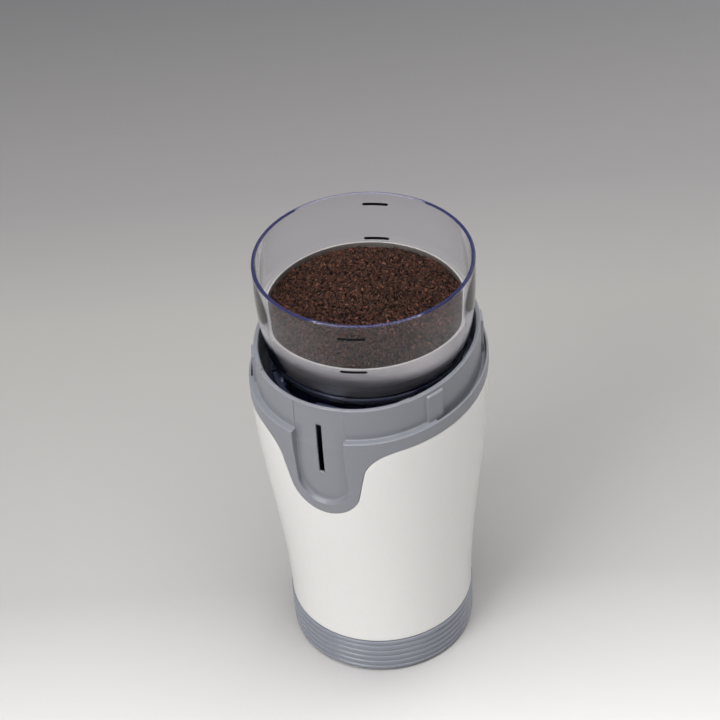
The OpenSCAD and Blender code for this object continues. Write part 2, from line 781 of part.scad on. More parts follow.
module switch_bracket() {
    y0 = bracket_y;
    color([0.2, 0.2, 0.22]) difference() {
        union() {
            box(-bracket_half_w, bracket_half_w, y0, y0 + bracket_t,
                switch_top_z - switch_h - 2, deck_under);
            box(spring_x - spring_r - 0.4, bracket_half_w, switch_y + 1, y0 + 1, shelf_z - 2, shelf_z);
        }
        for (z = switch_screw_z()) translate([0, y0 - 1, z]) rotate([-90, 0, 0])
            cylinder(r = 1.2, h = bracket_t + 2);
    }
}

function switch_screw_z() = [switch_top_z - 3, switch_top_z - switch_h + 3];

module switch_body() {
    color([0.12, 0.12, 0.14]) difference() {
        box(-switch_w / 2, switch_w / 2, switch_y, switch_y + switch_d,
            switch_top_z - switch_h, switch_top_z);
        translate([0, plunger_y, 0]) disc(plunger_r + 0.2, switch_top_z - 6, switch_top_z + 1);
        for (z = switch_screw_z()) translate([3.8, switch_y - 1, z]) rotate([-90, 0, 0])
            cylinder(r = 1.1, h = switch_d + 2);
    }
}

module switch_terminals() {
    color("gold") for (x = [-3.6, 0, 3.6])
        box(x - 0.8, x + 0.8, switch_y + 3, switch_y + 3.8,
            switch_top_z - switch_h - 6, switch_top_z - switch_h);
}

module switch_screws() {
    color("silver") for (z = switch_screw_z()) translate([3.8, switch_y, z]) rotate([-90, 0, 0]) {
        translate([0, 0, -1.2]) cylinder(r = 1.9, h = 1.2);
        cylinder(r = 1.1 - seat, h = switch_d - 1);
    }
}

module slider_spring() {
    color("silver") translate([spring_x, plunger_y, shelf_z])
        wire(coil(spring_r, spring_wire, spring_turns, slider_foot_z - shelf_z), spring_wire);
}

module switch_slider() {
    back_y = slider_y + slider_t;
    color([0.16, 0.17, 0.2]) {
        box(-slider_w / 2, slider_w / 2, slider_y, back_y, slider_foot_z, slider_top_z);
        box(-slider_w / 2, slider_w / 2, slider_y - slider_nose, back_y,
            slider_top_z - 2, slider_top_z);
        box(-foot_plate_half_w, foot_plate_half_w, back_y - eps, back_y + foot_plate_in,
            slider_foot_z, slider_foot_z + foot_plate_t);
    }
}

module switch_plunger() {
    color("ivory") translate([0, plunger_y, 0])
        disc(plunger_r, switch_top_z - 6 + slider_travel + 0.4, slider_foot_z - seat);
}

module thermal_fuse() {
    y = (coil_in + coil_out) / 2;
    color("ivory") translate([-7, y, stator_top_z + coil_end_h + 1.8]) rotate([0, 90, 0])
        cylinder(r = 1.7, h = 14);
}

module lead_wires() {
    y0 = switch_y + 3.4;
    z0 = switch_top_z - switch_h - 7;
    z1 = stator_z - coil_end_h - 0.7;
    z2 = brush_z - 2;
    color("firebrick") {
        wire(bend([[-3.6, y0, z0], [-3.6, y0, z0 - 10], [-8, y0 + 3, z1 - 5], [-6.5, -20, z1]]),
             0.9, [1, 0, 0]);
        wire(bend([[3.6, y0, z0], [3.6, y0, z0 - 12], [3.6, y0, z2], [3.5, -27.6, z2]]),
             0.9, [1, 0, 0]);
    }
}

// ---------------------------------------------------------------- rotor

module motor_shaft() {
    color("silver") {
        disc(shaft_r, fan_z - 1, coupling_top_z - 1);
    }
}

module armature_core() {
    color([0.5, 0.5, 0.54]) difference() {
        tube(armature_r, shaft_r + seat, stator_z, stator_top_z);
        for (i = [0 : slot_count - 1]) rotate([0, 0, 360 * i / slot_count]) {
            box(armature_r - 3, armature_r + 1, -0.6, 0.6, stator_z - 1, stator_top_z + 1);
            translate([armature_r - 3.6, 0, 0]) disc(1.5, stator_z - 1, stator_top_z + 1);
        }
    }
}

module armature_windings() {
    end_r = armature_r - 1.6;
    color([0.7, 0.36, 0.16]) {
        for (i = [0 : slot_count - 1]) rotate([0, 0, 360 * i / slot_count])
            translate([armature_r - 3.6, 0, 0]) disc(1.4, stator_z - 1, stator_top_z + 1);
        rotate_extrude() polygon([
            [shaft_r + 1.4, stator_z - 4.2], [end_r - 3, stator_z - 4.2], [end_r, stator_z - 2.4],
            [end_r, stator_z - seat], [shaft_r + 1.4, stator_z - seat]]);
        rotate_extrude() polygon([
            [shaft_r + 1.4, stator_top_z + seat], [end_r, stator_top_z + seat],
            [end_r, stator_top_z + 3.4], [end_r - 3, stator_top_z + 5.5],
            [shaft_r + 1.4, stator_top_z + 5.5]]);
    }
}

module commutator() {
    color([0.75, 0.42, 0.22]) difference() {
        union() {
            tube(commutator_r, shaft_r + seat, commutator_z, commutator_z + commutator_h);
            tube(commutator_r + 1.2, shaft_r + seat, commutator_z + commutator_h - eps,
                 commutator_z + commutator_h + 1.2);
        }
        for (i = [0 : slot_count - 1]) rotate([0, 0, 360 * (i + 0.5) / slot_count])
            box(commutator_r - 1, commutator_r + 2, -0.25, 0.25,
                commutator_z - 1, commutator_z + commutator_h + 2);
    }
}

module cooling_fan() {
    hub_r = shaft_r + 2.5;
    color([0.25, 0.26, 0.3]) difference() {
        union() {
            disc(fan_r, fan_z + fan_h - 1.2, fan_z + fan_h);
            disc(hub_r, fan_z, fan_z + fan_h - 0.6);
            for (i = [0 : fan_blades - 1]) rotate([0, 0, 360 * i / fan_blades])
                box(hub_r - 1.5, fan_r - 0.8, -2.4, -1.2, fan_z, fan_z + fan_h - 0.6);
        }
        disc(shaft_r + seat, fan_z - 2, fan_z + fan_h + 2);
    }
}

module dogs(z0, z1, turn) {
    span = 180 / dog_count - dog_gap;
    for (i = [0 : dog_count - 1])
        sector(blade_shaft_r + 1.4, coupling_r - 0.3, z0, z1, turn + 360 * i / dog_count - span / 2, span);
}

module drive_coupling() {
    color([0.14, 0.14, 0.15]) difference() {
        union() {
            disc(5.5, deck_under - 8, deck_z - 1);
            disc(coupling_r, deck_z - 1.5, coupling_top_z);
            dogs(coupling_top_z - 0.5, coupling_top_z + dog_h, 0);
        }
        disc(shaft_r + seat, deck_under - 9, coupling_top_z - 1);
    }
}

// ---------------------------------------------------------------- chamber

// Outer radius of the clear shell's wall at a height: it flares most near its foot
function wall_r(z) =
    let (u = (z - foot_edge_z) / (chamber_rim_z - foot_edge_z))
    chamber_foot_r + (chamber_rim_r - chamber_foot_r) * (1 - pow(1 - u, 3));

function wall_line(inset, from_z, to_z, steps = 6) = [for (i = [1 : steps])
    let (z = from_z + (to_z - from_z) * i / steps) [wall_r(z) - inset, z]];

function reversed(v) = [for (i = [len(v) - 1 : -1 : 0]) v[i]];

module chamber_shell() {
    steps = 8;
    outer = [for (i = [0 : steps]) let (a = 90 * i / steps)
        [foot_edge_r + chamber_round * sin(a), foot_edge_z - chamber_round * cos(a)]];
    inner_round = chamber_round - chamber_wall;
    inner = [for (i = [steps : -1 : 0]) let (a = 90 * i / steps)
        [foot_edge_r + inner_round * sin(a), foot_edge_z - inner_round * cos(a)]];
    color([0.45, 0.42, 0.6, 0.35]) rotate_extrude() polygon(concat(
        [[bushing_r + seat, chamber_z - boss_drop], [boss_r, chamber_z - boss_drop], [boss_r, chamber_z]],
        outer,
        wall_line(0, foot_edge_z, chamber_rim_z - 0.6),
        [[chamber_rim_r - 0.6, chamber_rim_z], [chamber_rim_r - chamber_wall + 0.5, chamber_rim_z]],
        reversed(wall_line(chamber_wall, foot_edge_z, chamber_rim_z - 0.5)),
        inner,
        [[boss_r, chamber_z + chamber_wall], [boss_r, chamber_z + boss_rise],
         [bushing_r + seat, chamber_z + boss_rise]]
    ));
}

module chamber_skirt() {
    z0 = deck_z + seat;
    z1 = chamber_z - seat;
    color([0.4, 0.42, 0.7, 0.4]) {
        tube(skirt_r, skirt_r - skirt_t, z0, z1);
        for (i = [0 : rib_count - 1]) rotate([0, 0, 360 * (i + 0.5) / rib_count])
            box(skirt_r - 0.8, skirt_r + 1, -0.6, 0.6, z0 + 3, z1);
        at_angles(lug_angles, skirt_r)
            box(-1, locator_r + locator_t - skirt_r, -lug_w / 2, lug_w / 2, z0 + 1, z1 - 3);
    }
}

module steel_bowl() {
    gap = chamber_wall + slip;
    r = wall_r(foot_edge_z) - gap;
    curve_z = bowl_floor_z + bowl_round;
    function curve(t) = [for (i = [0 : 8]) let (a = 90 * i / 8)
        [r - bowl_round, curve_z] + (bowl_round - t) * [sin(a), -cos(a)]];
    color([0.75, 0.75, 0.77]) rotate_extrude() polygon(concat(
        [[boss_r + slip, bowl_floor_z]],
        curve(0),
        wall_line(gap, curve_z, bowl_rim_z),
        reversed(wall_line(gap + bowl_t, curve_z, bowl_rim_z)),
        reversed(curve(bowl_t)),
        [[boss_r + slip, bowl_floor_z + bowl_t]]
    ));
}

module bowl_seal() {
    z = bowl_floor_z + bowl_t + seat;
    color([0.12, 0.12, 0.13]) rotate_extrude()
        polygon([[boss_r + seat, z], [boss_r + 2.4, z], [boss_r + 1.6, z + 1.4], [boss_r + seat, z + 1.8]]);
}

module shaft_bushing() {
    color("goldenrod")
        tube(bushing_r, blade_shaft_r + running_gap, chamber_z - boss_drop, chamber_z + boss_rise);
}

// ---------------------------------------------------------------- blade

module blade_shaft() {
    color("silver") {
        disc(blade_shaft_r, driven_z - 2, blade_z + blade_t + 2.5);
    }
}

module grinding_blade() {
    root = 7;
    tip_w = 0.62 * blade_w;
    color([0.8, 0.8, 0.82]) difference() {
        union() {
            disc(root, blade_z, blade_z + blade_t);
            for (a = [0, 180]) rotate([0, 0, a]) {
                box(0, root + 3, -blade_w / 2, blade_w / 2, blade_z, blade_z + blade_t);
                translate([root + 2.5, 0, blade_z + blade_t / 2]) rotate([blade_twist, -6, 0])
                    translate([0, 0, -blade_t / 2]) linear_extrude(height = blade_t)
                        polygon([[0, -blade_w / 2], [blade_r - root - 4, -tip_w / 2],
                                 [blade_r - root - 3, 0], [blade_r - root - 5, tip_w / 2],
                                 [0, blade_w / 2]]);
            }
        }
        disc(blade_shaft_r + 0.02, blade_z - 2, blade_z + 4);
    }
}

module blade_nut() {
    z = blade_z + blade_t + 0.02;
    color([0.8, 0.8, 0.82]) difference() {
        union() {
            translate([0, 0, z]) cylinder(r = 4.6, h = 2.6, $fn = 6);
            intersection() {
                translate([0, 0, z + 0.6]) sphere(r = 4);
                disc(5, z + 2, z + 6);
            }
        }
        disc(blade_shaft_r + 0.02, z - 1, z + 3);
    }
}

module thrust_washer() {
    color("ivory") tube(4.8, blade_shaft_r + 0.02, chamber_z + boss_rise + 0.1, blade_z - 0.02);
}

module driven_coupling() {
    color([0.14, 0.14, 0.15]) difference() {
        union() {
            disc(coupling_r, driven_z, chamber_z - boss_drop - 0.2);
            dogs(driven_z - dog_h, driven_z + 0.5, 180 / dog_count);
        }
        disc(blade_shaft_r + 0.02, driven_z - dog_h - 1, chamber_z);
    }
}

housing_shell();
top_collar();
chamber_well();
locator_ring();
drip_collar();
base_ring();
bottom_cover();
rubber_feet();
cover_screws();
upper_bracket();
lower_bracket();
motor_stator();
field_coils();
motor_bolts();
mount_grommets();
mount_screws();
upper_bearing();
lower_bearing();
brush_holders();
carbon_brushes();
brush_springs();
well_seal();
switch_bracket();
switch_body();
switch_terminals();
switch_screws();
slider_spring();
thermal_fuse();
lead_wires();
motor_shaft();
armature_core();
armature_windings();
commutator();
cooling_fan();
drive_coupling();
switch_slider();
switch_plunger();
chamber_shell();
chamber_skirt();
steel_bowl();
bowl_seal();
shaft_bushing();
blade_shaft();
grinding_blade();
blade_nut();
thrust_washer();
driven_coupling();
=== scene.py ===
"""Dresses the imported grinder: the pieces shaped here, finishes, camera, floor and light.

The grinder's front faces -Y. Angles round it, called th, are in radians from the front toward +X.
Lengths are in mm until Shape.object and make_camera turn them into metres. The room is in metres.
"""

import math

import bmesh
import bpy
import numpy as np
from mathutils import Matrix, Vector, noise


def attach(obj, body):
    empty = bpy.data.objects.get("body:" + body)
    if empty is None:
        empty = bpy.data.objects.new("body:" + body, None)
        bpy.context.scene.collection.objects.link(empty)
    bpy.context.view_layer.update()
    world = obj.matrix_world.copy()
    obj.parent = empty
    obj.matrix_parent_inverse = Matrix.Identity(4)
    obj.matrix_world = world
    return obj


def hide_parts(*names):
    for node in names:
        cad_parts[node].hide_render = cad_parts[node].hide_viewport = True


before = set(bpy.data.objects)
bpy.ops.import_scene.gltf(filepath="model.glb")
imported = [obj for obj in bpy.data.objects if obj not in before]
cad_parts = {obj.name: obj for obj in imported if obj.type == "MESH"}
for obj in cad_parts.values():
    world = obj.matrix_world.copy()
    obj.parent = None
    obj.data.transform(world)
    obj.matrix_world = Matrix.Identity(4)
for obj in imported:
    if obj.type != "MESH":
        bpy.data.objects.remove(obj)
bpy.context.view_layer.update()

MM = 0.001

# ------------------------------------------------------------ sizes, in mm

# As in the solids
BASE_TOP, LIP_Z, LEDGE_Z, RIM_Z = 17.8, 130.0, 135.9, 149.6
WAIST_R, LIP_W, LIP_OUT, LIP_STEP = 37.0, 44.8, 2.8, 0.15
SPIGOT_W, OVAL_EXTRA = 42.0, 5.9
END_R, END_C = SPIGOT_W - OVAL_EXTRA / 2, 1.5 * OVAL_EXTRA
SIDE_R, SIDE_C = END_R + 2.5 * OVAL_EXTRA, 2 * OVAL_EXTRA
SEAM, WALL = 0.12, 2.2
APRON_W, APRON_END, APRON_LEAN, APRON_FILLET = 14.0, 95.8, 2.1, 13.2
CHANNEL_W, CHANNEL_END, CHANNEL_DEPTH, CHANNEL_RUN = 10.2, 101.0, 2.15, 12
SLOT_Z0, SLOT_Z1 = 117.4, 141.1
PAD_TH, PAD_OUT = math.radians(56.7), 1.0
FOOT_H, RING_H, RING_GROOVES, RING_IN, INLET_R = 1.2, 16.6, 5, 33.8, 3.6
CHAMBER_Z, CHAMBER_RIM_Z, CHAMBER_ROUND = 140.45, 183.95, 8.5
CHAMBER_FOOT_R, CHAMBER_RIM_R, CHAMBER_WALL = 38.6, 41.3, 2.0
BOSS_R, BOSS_BORE, BOSS_LOW, BOSS_TOP = 9.0, 5.55, 138.35, 146.95
BOWL_RIM_Z, BOWL_T = 162.35, 0.8

# Nearer to the photo than the solids, which have 0.95, 1.3 and 2.0 here
SLOT_HALF, RING_PROUD, RIM_WALL = 1.15, 0.5, 1.4

# Made here alone
BODY_ROUND, COLLAR_ROUND = 0.3, 0.25  # edges along the seam between them
BODY_LIFT = 0.05  # the body's lower edge over the base ring
COLUMN_Z = 86.0  # up to here the columns of the body's mesh are upright
COLLAR_T, COLLAR_LAP = 0.9, 1.6  # the collar's wall, and its edge inside the body
PANEL_LOW, PANEL_STEP = 0.2, 0.32  # the panel over the channel, behind the lip and above the ledge
TRENCH_FROM = [PAD_TH - 0.25 / 44, PAD_TH + 0.25 / 44]  # from the front pads on, round the back
PAD_FLANK, PAD_FADE = (3.5, 3.86), (147.75, 148.3)  # across a pad's side, and up over its top
RING_BULGE, RING_ROUND = 0.4, 0.4  # its swell toward the top, and its upper edge
RING_SEAM_R, RING_SEAM_H = 36.15, 0.35  # the dark line between ring and body
RING_COLLAR_R, RING_COLLAR_H = 34.4, 3.8  # the ring's upper edge, inside the body
RIM_BAND = 0.42  # height of the chamber's rim top, painted blue-violet: the glass's own tint with painted light seen through its edge
BAR_AZ, BAR_HALF_W, BAR_HALF_H, BAR_ROUND, BAR_OUT = math.radians(16.6), 5.1, 0.6, 0.6, 0.06
BAR_DOWN = (5.75, 21.45)  # from the chamber's rim to each level
COFFEE_DOWN, COFFEE_PEAK = 2.2, 6.8  # its edge under the bowl's rim, and its heap over that


def smooth(u):
    return u * u * (3 - 2 * u)


def ramp(x, x0, x1):
    """0 up to x0 and 1 from x1 on, with a smooth rise between them."""
    return smooth(np.clip((x - x0) / (x1 - x0), 0, 1))


def ray(cx, cy, r, ux, uy):
    """Distance from the axis, toward (ux, uy), to the circle of radius r round (cx, cy)."""
    along = cx * ux + cy * uy
    return along + np.sqrt(along**2 + r * r - cx * cx - cy * cy)


def oval_r(th, off=0.0):
    """Radius of the collar's oval, grown by off, at the angle th from the front."""
    ux, uy = np.abs(np.sin(th)), np.abs(np.cos(th))
    side = ray(-SIDE_C, 0, SIDE_R + off, ux, uy)
    on_side = np.arctan2(side * uy, side * ux + SIDE_C) <= math.atan2(3, 4)
    return np.where(on_side, side, ray(0, END_C, END_R + off, ux, uy))


def body_r(th, z):
    """Radius of the white body's skin: round at the waist, oval at the lip."""
    u = np.clip((z - BASE_TOP) / (LIP_Z - BASE_TOP), 0, 1)
    flare = (LIP_W - LIP_STEP - WAIST_R) * smooth(u)
    return WAIST_R + flare + (oval_r(th, LIP_OUT) - LIP_W) * u**1.5


def collar_r(th, z):
    """Radius of the collar's skin below its ledge: level with the body, proud of it at the lip."""
    return body_r(th, z) + LIP_STEP * ramp(z, LIP_Z - 9, LIP_Z)


def polar(th, r, z):
    """The points at these angles, radii and heights."""
    th, r, z = np.broadcast_arrays(th, r, z)
    return np.stack([r * np.sin(th), -r * np.cos(th), z], -1)


def angle_of(x, z, skin, inset=0.0):
    """The angle at which the skin, set in by inset, has this x."""
    x, z, inset = np.broadcast_arrays(np.asarray(x, float), z, inset)
    guess_r, rounds = 46, 14
    th = np.arcsin(x / guess_r)
    for _ in range(rounds):
        th = np.arcsin(np.clip(x / (skin(th, z) - inset), -1, 1))
    return th


def on_skin(x, z, skin, inset=0.0):
    """The points with this x and z on the skin, set in by inset."""
    th = angle_of(x, z, skin, inset)
    return polar(th, skin(th, z) - inset, z)


# ------------------------------------------------------------ mesh helpers


class Shape:
    """Vertices in mm and faces, gathered patch by patch."""

    def __init__(self):
        self.v, self.f = [], []

    def grid(self, pts, wrap=False, turn=False, keep=None):
        """Add rows of points as a patch: wrap closes each row, keep says which faces to make."""
        n, (rows, cols) = len(self.v), pts.shape[:2]
        self.v.extend(pts.reshape(-1, 3).tolist())
        for i in range(rows - 1):
            low, high = n + i * cols, n + (i + 1) * cols
            for j in range(cols if wrap else cols - 1):
                if keep is not None and not keep[i, j]:
                    continue
                k = (j + 1) % cols
                face = (low + j, low + k, high + k, high + j)
                self.f.append(face[::-1] if turn else face)

    def both(self, pts, **words):
        """Add the patch and its mirror image across x = 0."""
        self.grid(pts, **words)
        self.grid(pts * np.array([-1, 1, 1]), turn=True, **words)

    def object(self, name, mat, angle=38, merge=0.003, away_from=None):
        """The shape as an object in metres, its faces turned away from a point if one is given."""
        me = bpy.data.meshes.new(name)
        me.from_pydata((np.array(self.v) * MM).tolist(), [], self.f)
        bm = bmesh.new()
        bm.from_mesh(me)
        if merge:
            bmesh.ops.remove_doubles(bm, verts=bm.verts, dist=merge * MM)
            bmesh.ops.dissolve_degenerate(bm, dist=1e-7, edges=bm.edges)
        bmesh.ops.recalc_face_normals(bm, faces=bm.faces)
        if away_from is not None:
            middle = away_from * MM
            away = [f.normal.dot(f.calc_center_median() - middle) * f.calc_area() for f in bm.faces]
            if sum(away) < 0:
                bmesh.ops.reverse_faces(bm, faces=bm.faces)
        bm.to_mesh(me)
        bm.free()
        for p in me.polygons:
            p.use_smooth = True
        me.set_sharp_from_angle(angle=math.radians(angle))
        ob = bpy.data.objects.new(name, me)
        bpy.context.scene.collection.objects.link(ob)
        me.materials.append(mat)
        return ob


def lathe(profile, seg):
    """Rows of points round the axis, one for each (radius, height)."""
    a = np.linspace(0, 2 * math.pi, seg, endpoint=False)
    p = np.array(profile)
    return np.stack([p[:, :1] * np.sin(a), -p[:, :1] * np.cos(a), np.repeat(p[:, 1:], seg, 1)], -1)


def arc(cx, cz, r, a0, a1, n):
    """Points round (cx, cz), angles in degrees from +r toward +z."""
    a = np.radians(np.linspace(a0, a1, n))
    return [(cx + r * math.cos(t), cz + r * math.sin(t)) for t in a]


def round_steps(radius, degrees):
    """Distances along and across a rounded edge of this radius, for each angle."""
    return [(radius * (1 - math.sin(a)), radius * (1 - math.cos(a))) for a in np.radians(degrees)]


def cut(ob, cutter):
    """Cut the cutter out of the object for good."""
    mod = ob.modifiers.new("cut", "BOOLEAN")
    mod.operation, mod.object, mod.solver = "DIFFERENCE", cutter, "EXACT"
    me = bpy.data.meshes.new_from_object(ob.evaluated_get(bpy.context.evaluated_depsgraph_get()))
    ob.modifiers.clear()
    ob.data = me
    bpy.data.objects.remove(cutter)


# ------------------------------------------------------------ materials


def rgb(code):
    """The linear colour of a #rrggbb code."""
    c = [int(code[i : i + 2], 16) / 255 for i in (1, 3, 5)]
    return [x / 12.92 if x <= 0.04045 else ((x + 0.055) / 1.055) ** 2.4 for x in c] + [1.0]


def add_node(tree, kind, **values):
    """A new shader node; each value goes to its property, or else its input, of that name."""
    node = tree.nodes.new("ShaderNode" + kind)
    for key, value in values.items():
        if hasattr(node, key):
            setattr(node, key, value)
        else:
            node.inputs[key.replace("_", " ")].default_value = value
    return node


def colours(sockets):
    return [s for s in sockets if s.type == "RGBA"]


def shade_ramp(tree, stops, interpolation="LINEAR"):
    """A colour ramp through each (place, colour code)."""
    node = add_node(tree, "ValToRGB")
    node.color_ramp.interpolation = interpolation
    held = node.color_ramp.elements
    held[1].position, held[1].color = stops[-1][0], rgb(stops[-1][1])
    held[0].position, held[0].color = stops[0][0], rgb(stops[0][1])
    for at, code in stops[1:-1]:
        held.new(at).color = rgb(code)
    return node


def round_the_axis(tree, place):
    """Turn a place into (distance from the Z axis, height), so that noise makes rings."""
    split = add_node(tree, "SeparateXYZ")
    flat = add_node(tree, "CombineXYZ")
    radius = add_node(tree, "VectorMath", operation="LENGTH")
    out = add_node(tree, "CombineXYZ")
    tree.links.new(place, split.inputs[0])
    tree.links.new(split.outputs[0], flat.inputs[0])
    tree.links.new(split.outputs[1], flat.inputs[1])
    tree.links.new(flat.outputs[0], radius.inputs[0])
    tree.links.new(radius.outputs["Value"], out.inputs[0])
    tree.links.new(split.outputs[2], out.inputs[1])
    return out.outputs[0]


def material(name, code, rough, metal=0.0, vary=0.05, grain=700.0, bump=0.03, look=None,
             absorb=None, **more):
    """A procedural finish: colour, roughness and bump follow noises in the object's own space.

    look is None, "rings" (brushed round the axis), "layers" (stacked sheets) or "turns" (wire).
    """
    m = bpy.data.materials.new(name)
    m.use_nodes = True
    tree = m.node_tree
    nodes, links = tree.nodes, tree.links
    shader = nodes["Principled BSDF"]
    base = rgb(code)
    shader.inputs["Base Color"].default_value = base
    shader.inputs["Roughness"].default_value = rough
    shader.inputs["Metallic"].default_value = metal
    for key, value in more.items():
        shader.inputs[key.replace("_", " ")].default_value = value

    place = add_node(tree, "TexCoord").outputs["Object"]
    if look == "rings":
        place = round_the_axis(tree, place)
    fine = add_node(tree, "TexNoise", Scale=grain, Detail=4.0)
    links.new(place, fine.inputs["Vector"])
    signal = fine.outputs["Fac"]
    if look in ("layers", "turns"):
        wave = add_node(tree, "TexWave", bands_direction="Z", Scale=grain,
                        Distortion=0.6 if look == "layers" else 2.0)
        links.new(place, wave.inputs["Vector"])
        signal = wave.outputs["Fac"]

    dark = [min(1, c * (1 - 2 * vary)) for c in base[:3]] + [1.0]
    light = [min(1, c * (1 + vary)) for c in base[:3]] + [1.0]
    mix = add_node(tree, "Mix", data_type="RGBA")
    links.new(signal, mix.inputs["Factor"])
    for socket, value in zip(colours(mix.inputs), (dark, light)):
        socket.default_value = value
    links.new(colours(mix.outputs)[0], shader.inputs["Base Color"])

    broad = add_node(tree, "TexNoise", Scale=60.0, Detail=3.0)
    links.new(place, broad.inputs["Vector"])
    spread = add_node(tree, "MapRange", To_Min=rough * 0.82, To_Max=min(1, rough * 1.18))
    links.new(broad.outputs["Fac"], spread.inputs["Value"])
    links.new(spread.outputs[0], shader.inputs["Roughness"])

    if bump:
        lift = add_node(tree, "Bump", Strength=bump, Distance=0.0002)
        links.new(signal, lift.inputs["Height"])
        links.new(lift.outputs[0], shader.inputs["Normal"])
    if absorb:
        depth = add_node(tree, "VolumeAbsorption", Color=rgb(absorb[0]), Density=absorb[1])
        links.new(depth.outputs[0], nodes["Material Output"].inputs["Volume"])
    return m


METAL, RINGS = dict(metal=1.0), dict(metal=1.0, look="rings")
CLEAR = dict(grain=300.0, Transmission_Weight=1.0)
FINISH = {
    "white_shell": dict(code="#dfdedc", rough=0.2, vary=0.012, grain=500.0, bump=0.012),
    "grey_collar": dict(code="#7d7f86", rough=0.32, vary=0.02, grain=2600.0, bump=0.04),
    "dark_well": dict(code="#454c62", rough=0.18, vary=0.1, grain=600.0, bump=0.02),
    "ring_plastic": dict(code="#7f838d", rough=0.15, vary=0.03, grain=2400.0, bump=0.03),
    "cover_plastic": dict(code="#43464c", rough=0.5, vary=0.06, grain=2200.0, bump=0.08),
    "foot_rubber": dict(code="#26272a", rough=0.8, vary=0.1, grain=1800.0, bump=0.1),
    "screw_steel": dict(code="#9a9ca0", rough=0.3, grain=2500.0, bump=0.04, **RINGS),
    "cast_aluminium": dict(code="#a3a6aa", rough=0.5, grain=1500.0, bump=0.2, **METAL),
    "lamination_steel": dict(code="#6f7277", rough=0.45, vary=0.2, grain=320.0, bump=0.4,
                             look="layers", **METAL),
    "copper": dict(code="#b8673a", rough=0.3, vary=0.25, grain=260.0, bump=0.5,
                   look="turns", **METAL),
    "commutator_copper": dict(code="#c27a4c", rough=0.25, grain=3000.0, bump=0.05, **RINGS),
    "black_rubber": dict(code="#1c1c1e", rough=0.75, vary=0.1, grain=1800.0, bump=0.1),
    "bronze": dict(code="#a37c45", rough=0.35, grain=2200.0, bump=0.08, **METAL),
    "insulator": dict(code="#2c2a28", rough=0.45, vary=0.1, grain=1400.0, bump=0.08),
    "carbon": dict(code="#1f2022", rough=0.6, vary=0.2, grain=3000.0, bump=0.1),
    "spring_steel": dict(code="#8d9094", rough=0.25, grain=2500.0, bump=0.03, **METAL),
    "brass_tabs": dict(code="#c2a35a", rough=0.3, grain=2500.0, bump=0.03, **METAL),
    "ceramic_white": dict(code="#d6d2c8", rough=0.5, grain=1500.0, bump=0.05),
    "wire_sleeve": dict(code="#a8322a", rough=0.4, vary=0.08, grain=1500.0, bump=0.05),
    "fan_plastic": dict(code="#2a2d31", rough=0.4, vary=0.06, grain=2000.0, bump=0.05),
    "coupling_plastic": dict(code="#2a2b2e", rough=0.4, vary=0.06, grain=2000.0, bump=0.05),
    "slider_plastic": dict(code="#1d2133", rough=0.35, vary=0.06, grain=2000.0, bump=0.05),
    "clear_smoky": dict(code="#f7f7fa", rough=0.02, vary=0.004, bump=0.006, IOR=1.34,
                        absorb=("#928eb6", 52.0), **CLEAR),
    "clear_skirt": dict(code="#c3ccf2", rough=0.06, vary=0.03, bump=0.02, IOR=1.38, **CLEAR),
    "bowl_steel": dict(code="#e2deda", rough=0.45, vary=0.14, grain=3000.0, bump=0.35, **RINGS),
    "blade_steel": dict(code="#b9bbbe", rough=0.22, vary=0.06, grain=3500.0, bump=0.06, **RINGS),
}
finish = {name: material(name + "_look", **words) for name, words in FINISH.items()}
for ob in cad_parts.values():
    for held in ob.material_slots:
        held.material = finish[held.material.name.split(".")[0]]

# ------------------------------------------------------------ the seam between body and collar

FILLET_STEPS, FLANK_STEPS, FOOT_STEPS = 30, 5, 34


def apron_outline():
    """Half of the apron's edge from the lip to its lowest point, as x, z and the outward normal."""
    foot = np.array([0, APRON_END + APRON_W])
    fillet = np.array([APRON_W + APRON_LEAN + APRON_FILLET, LIP_Z - APRON_FILLET])
    gap = fillet - foot
    lean = math.atan2(gap[1], gap[0]) - math.acos((APRON_W + APRON_FILLET) / np.hypot(*gap))
    out = []
    for b in np.linspace(math.pi / 2, -lean, FILLET_STEPS):
        n = np.array([math.cos(b), -math.sin(b)])
        out.append([*(fillet - APRON_FILLET * n), *n])
    n = np.array([math.cos(lean), math.sin(lean)])
    p, q = fillet - APRON_FILLET * n, foot + APRON_W * n
    for t in np.linspace(0, 1, FLANK_STEPS + 2)[1:-1]:
        out.append([*(p + (q - p) * t), *n])
    for a in np.linspace(lean, -math.pi / 2, FOOT_STEPS):
        n = np.array([math.cos(a), math.sin(a)])
        out.append([*(foot + APRON_W * n), *n])
    return np.array(out)


EDGE = apron_outline()
TH_EDGE = float(angle_of(EDGE[0, 0], LIP_Z, body_r))
BACK_TH = np.linspace(TH_EDGE, math.pi, 88)[1:]


def edge_points(skin, d, w):
    """The seam from the front's middle round to the back's, moved d across it and w inward."""
    front = EDGE[::-1]
    p = on_skin(front[:, 0] + d * front[:, 2], front[:, 1] + d * front[:, 3], skin, w)
    return np.concatenate([p, polar(BACK_TH, skin(BACK_TH, LIP_Z - d) - w, LIP_Z - d)])


# ------------------------------------------------------------ white body


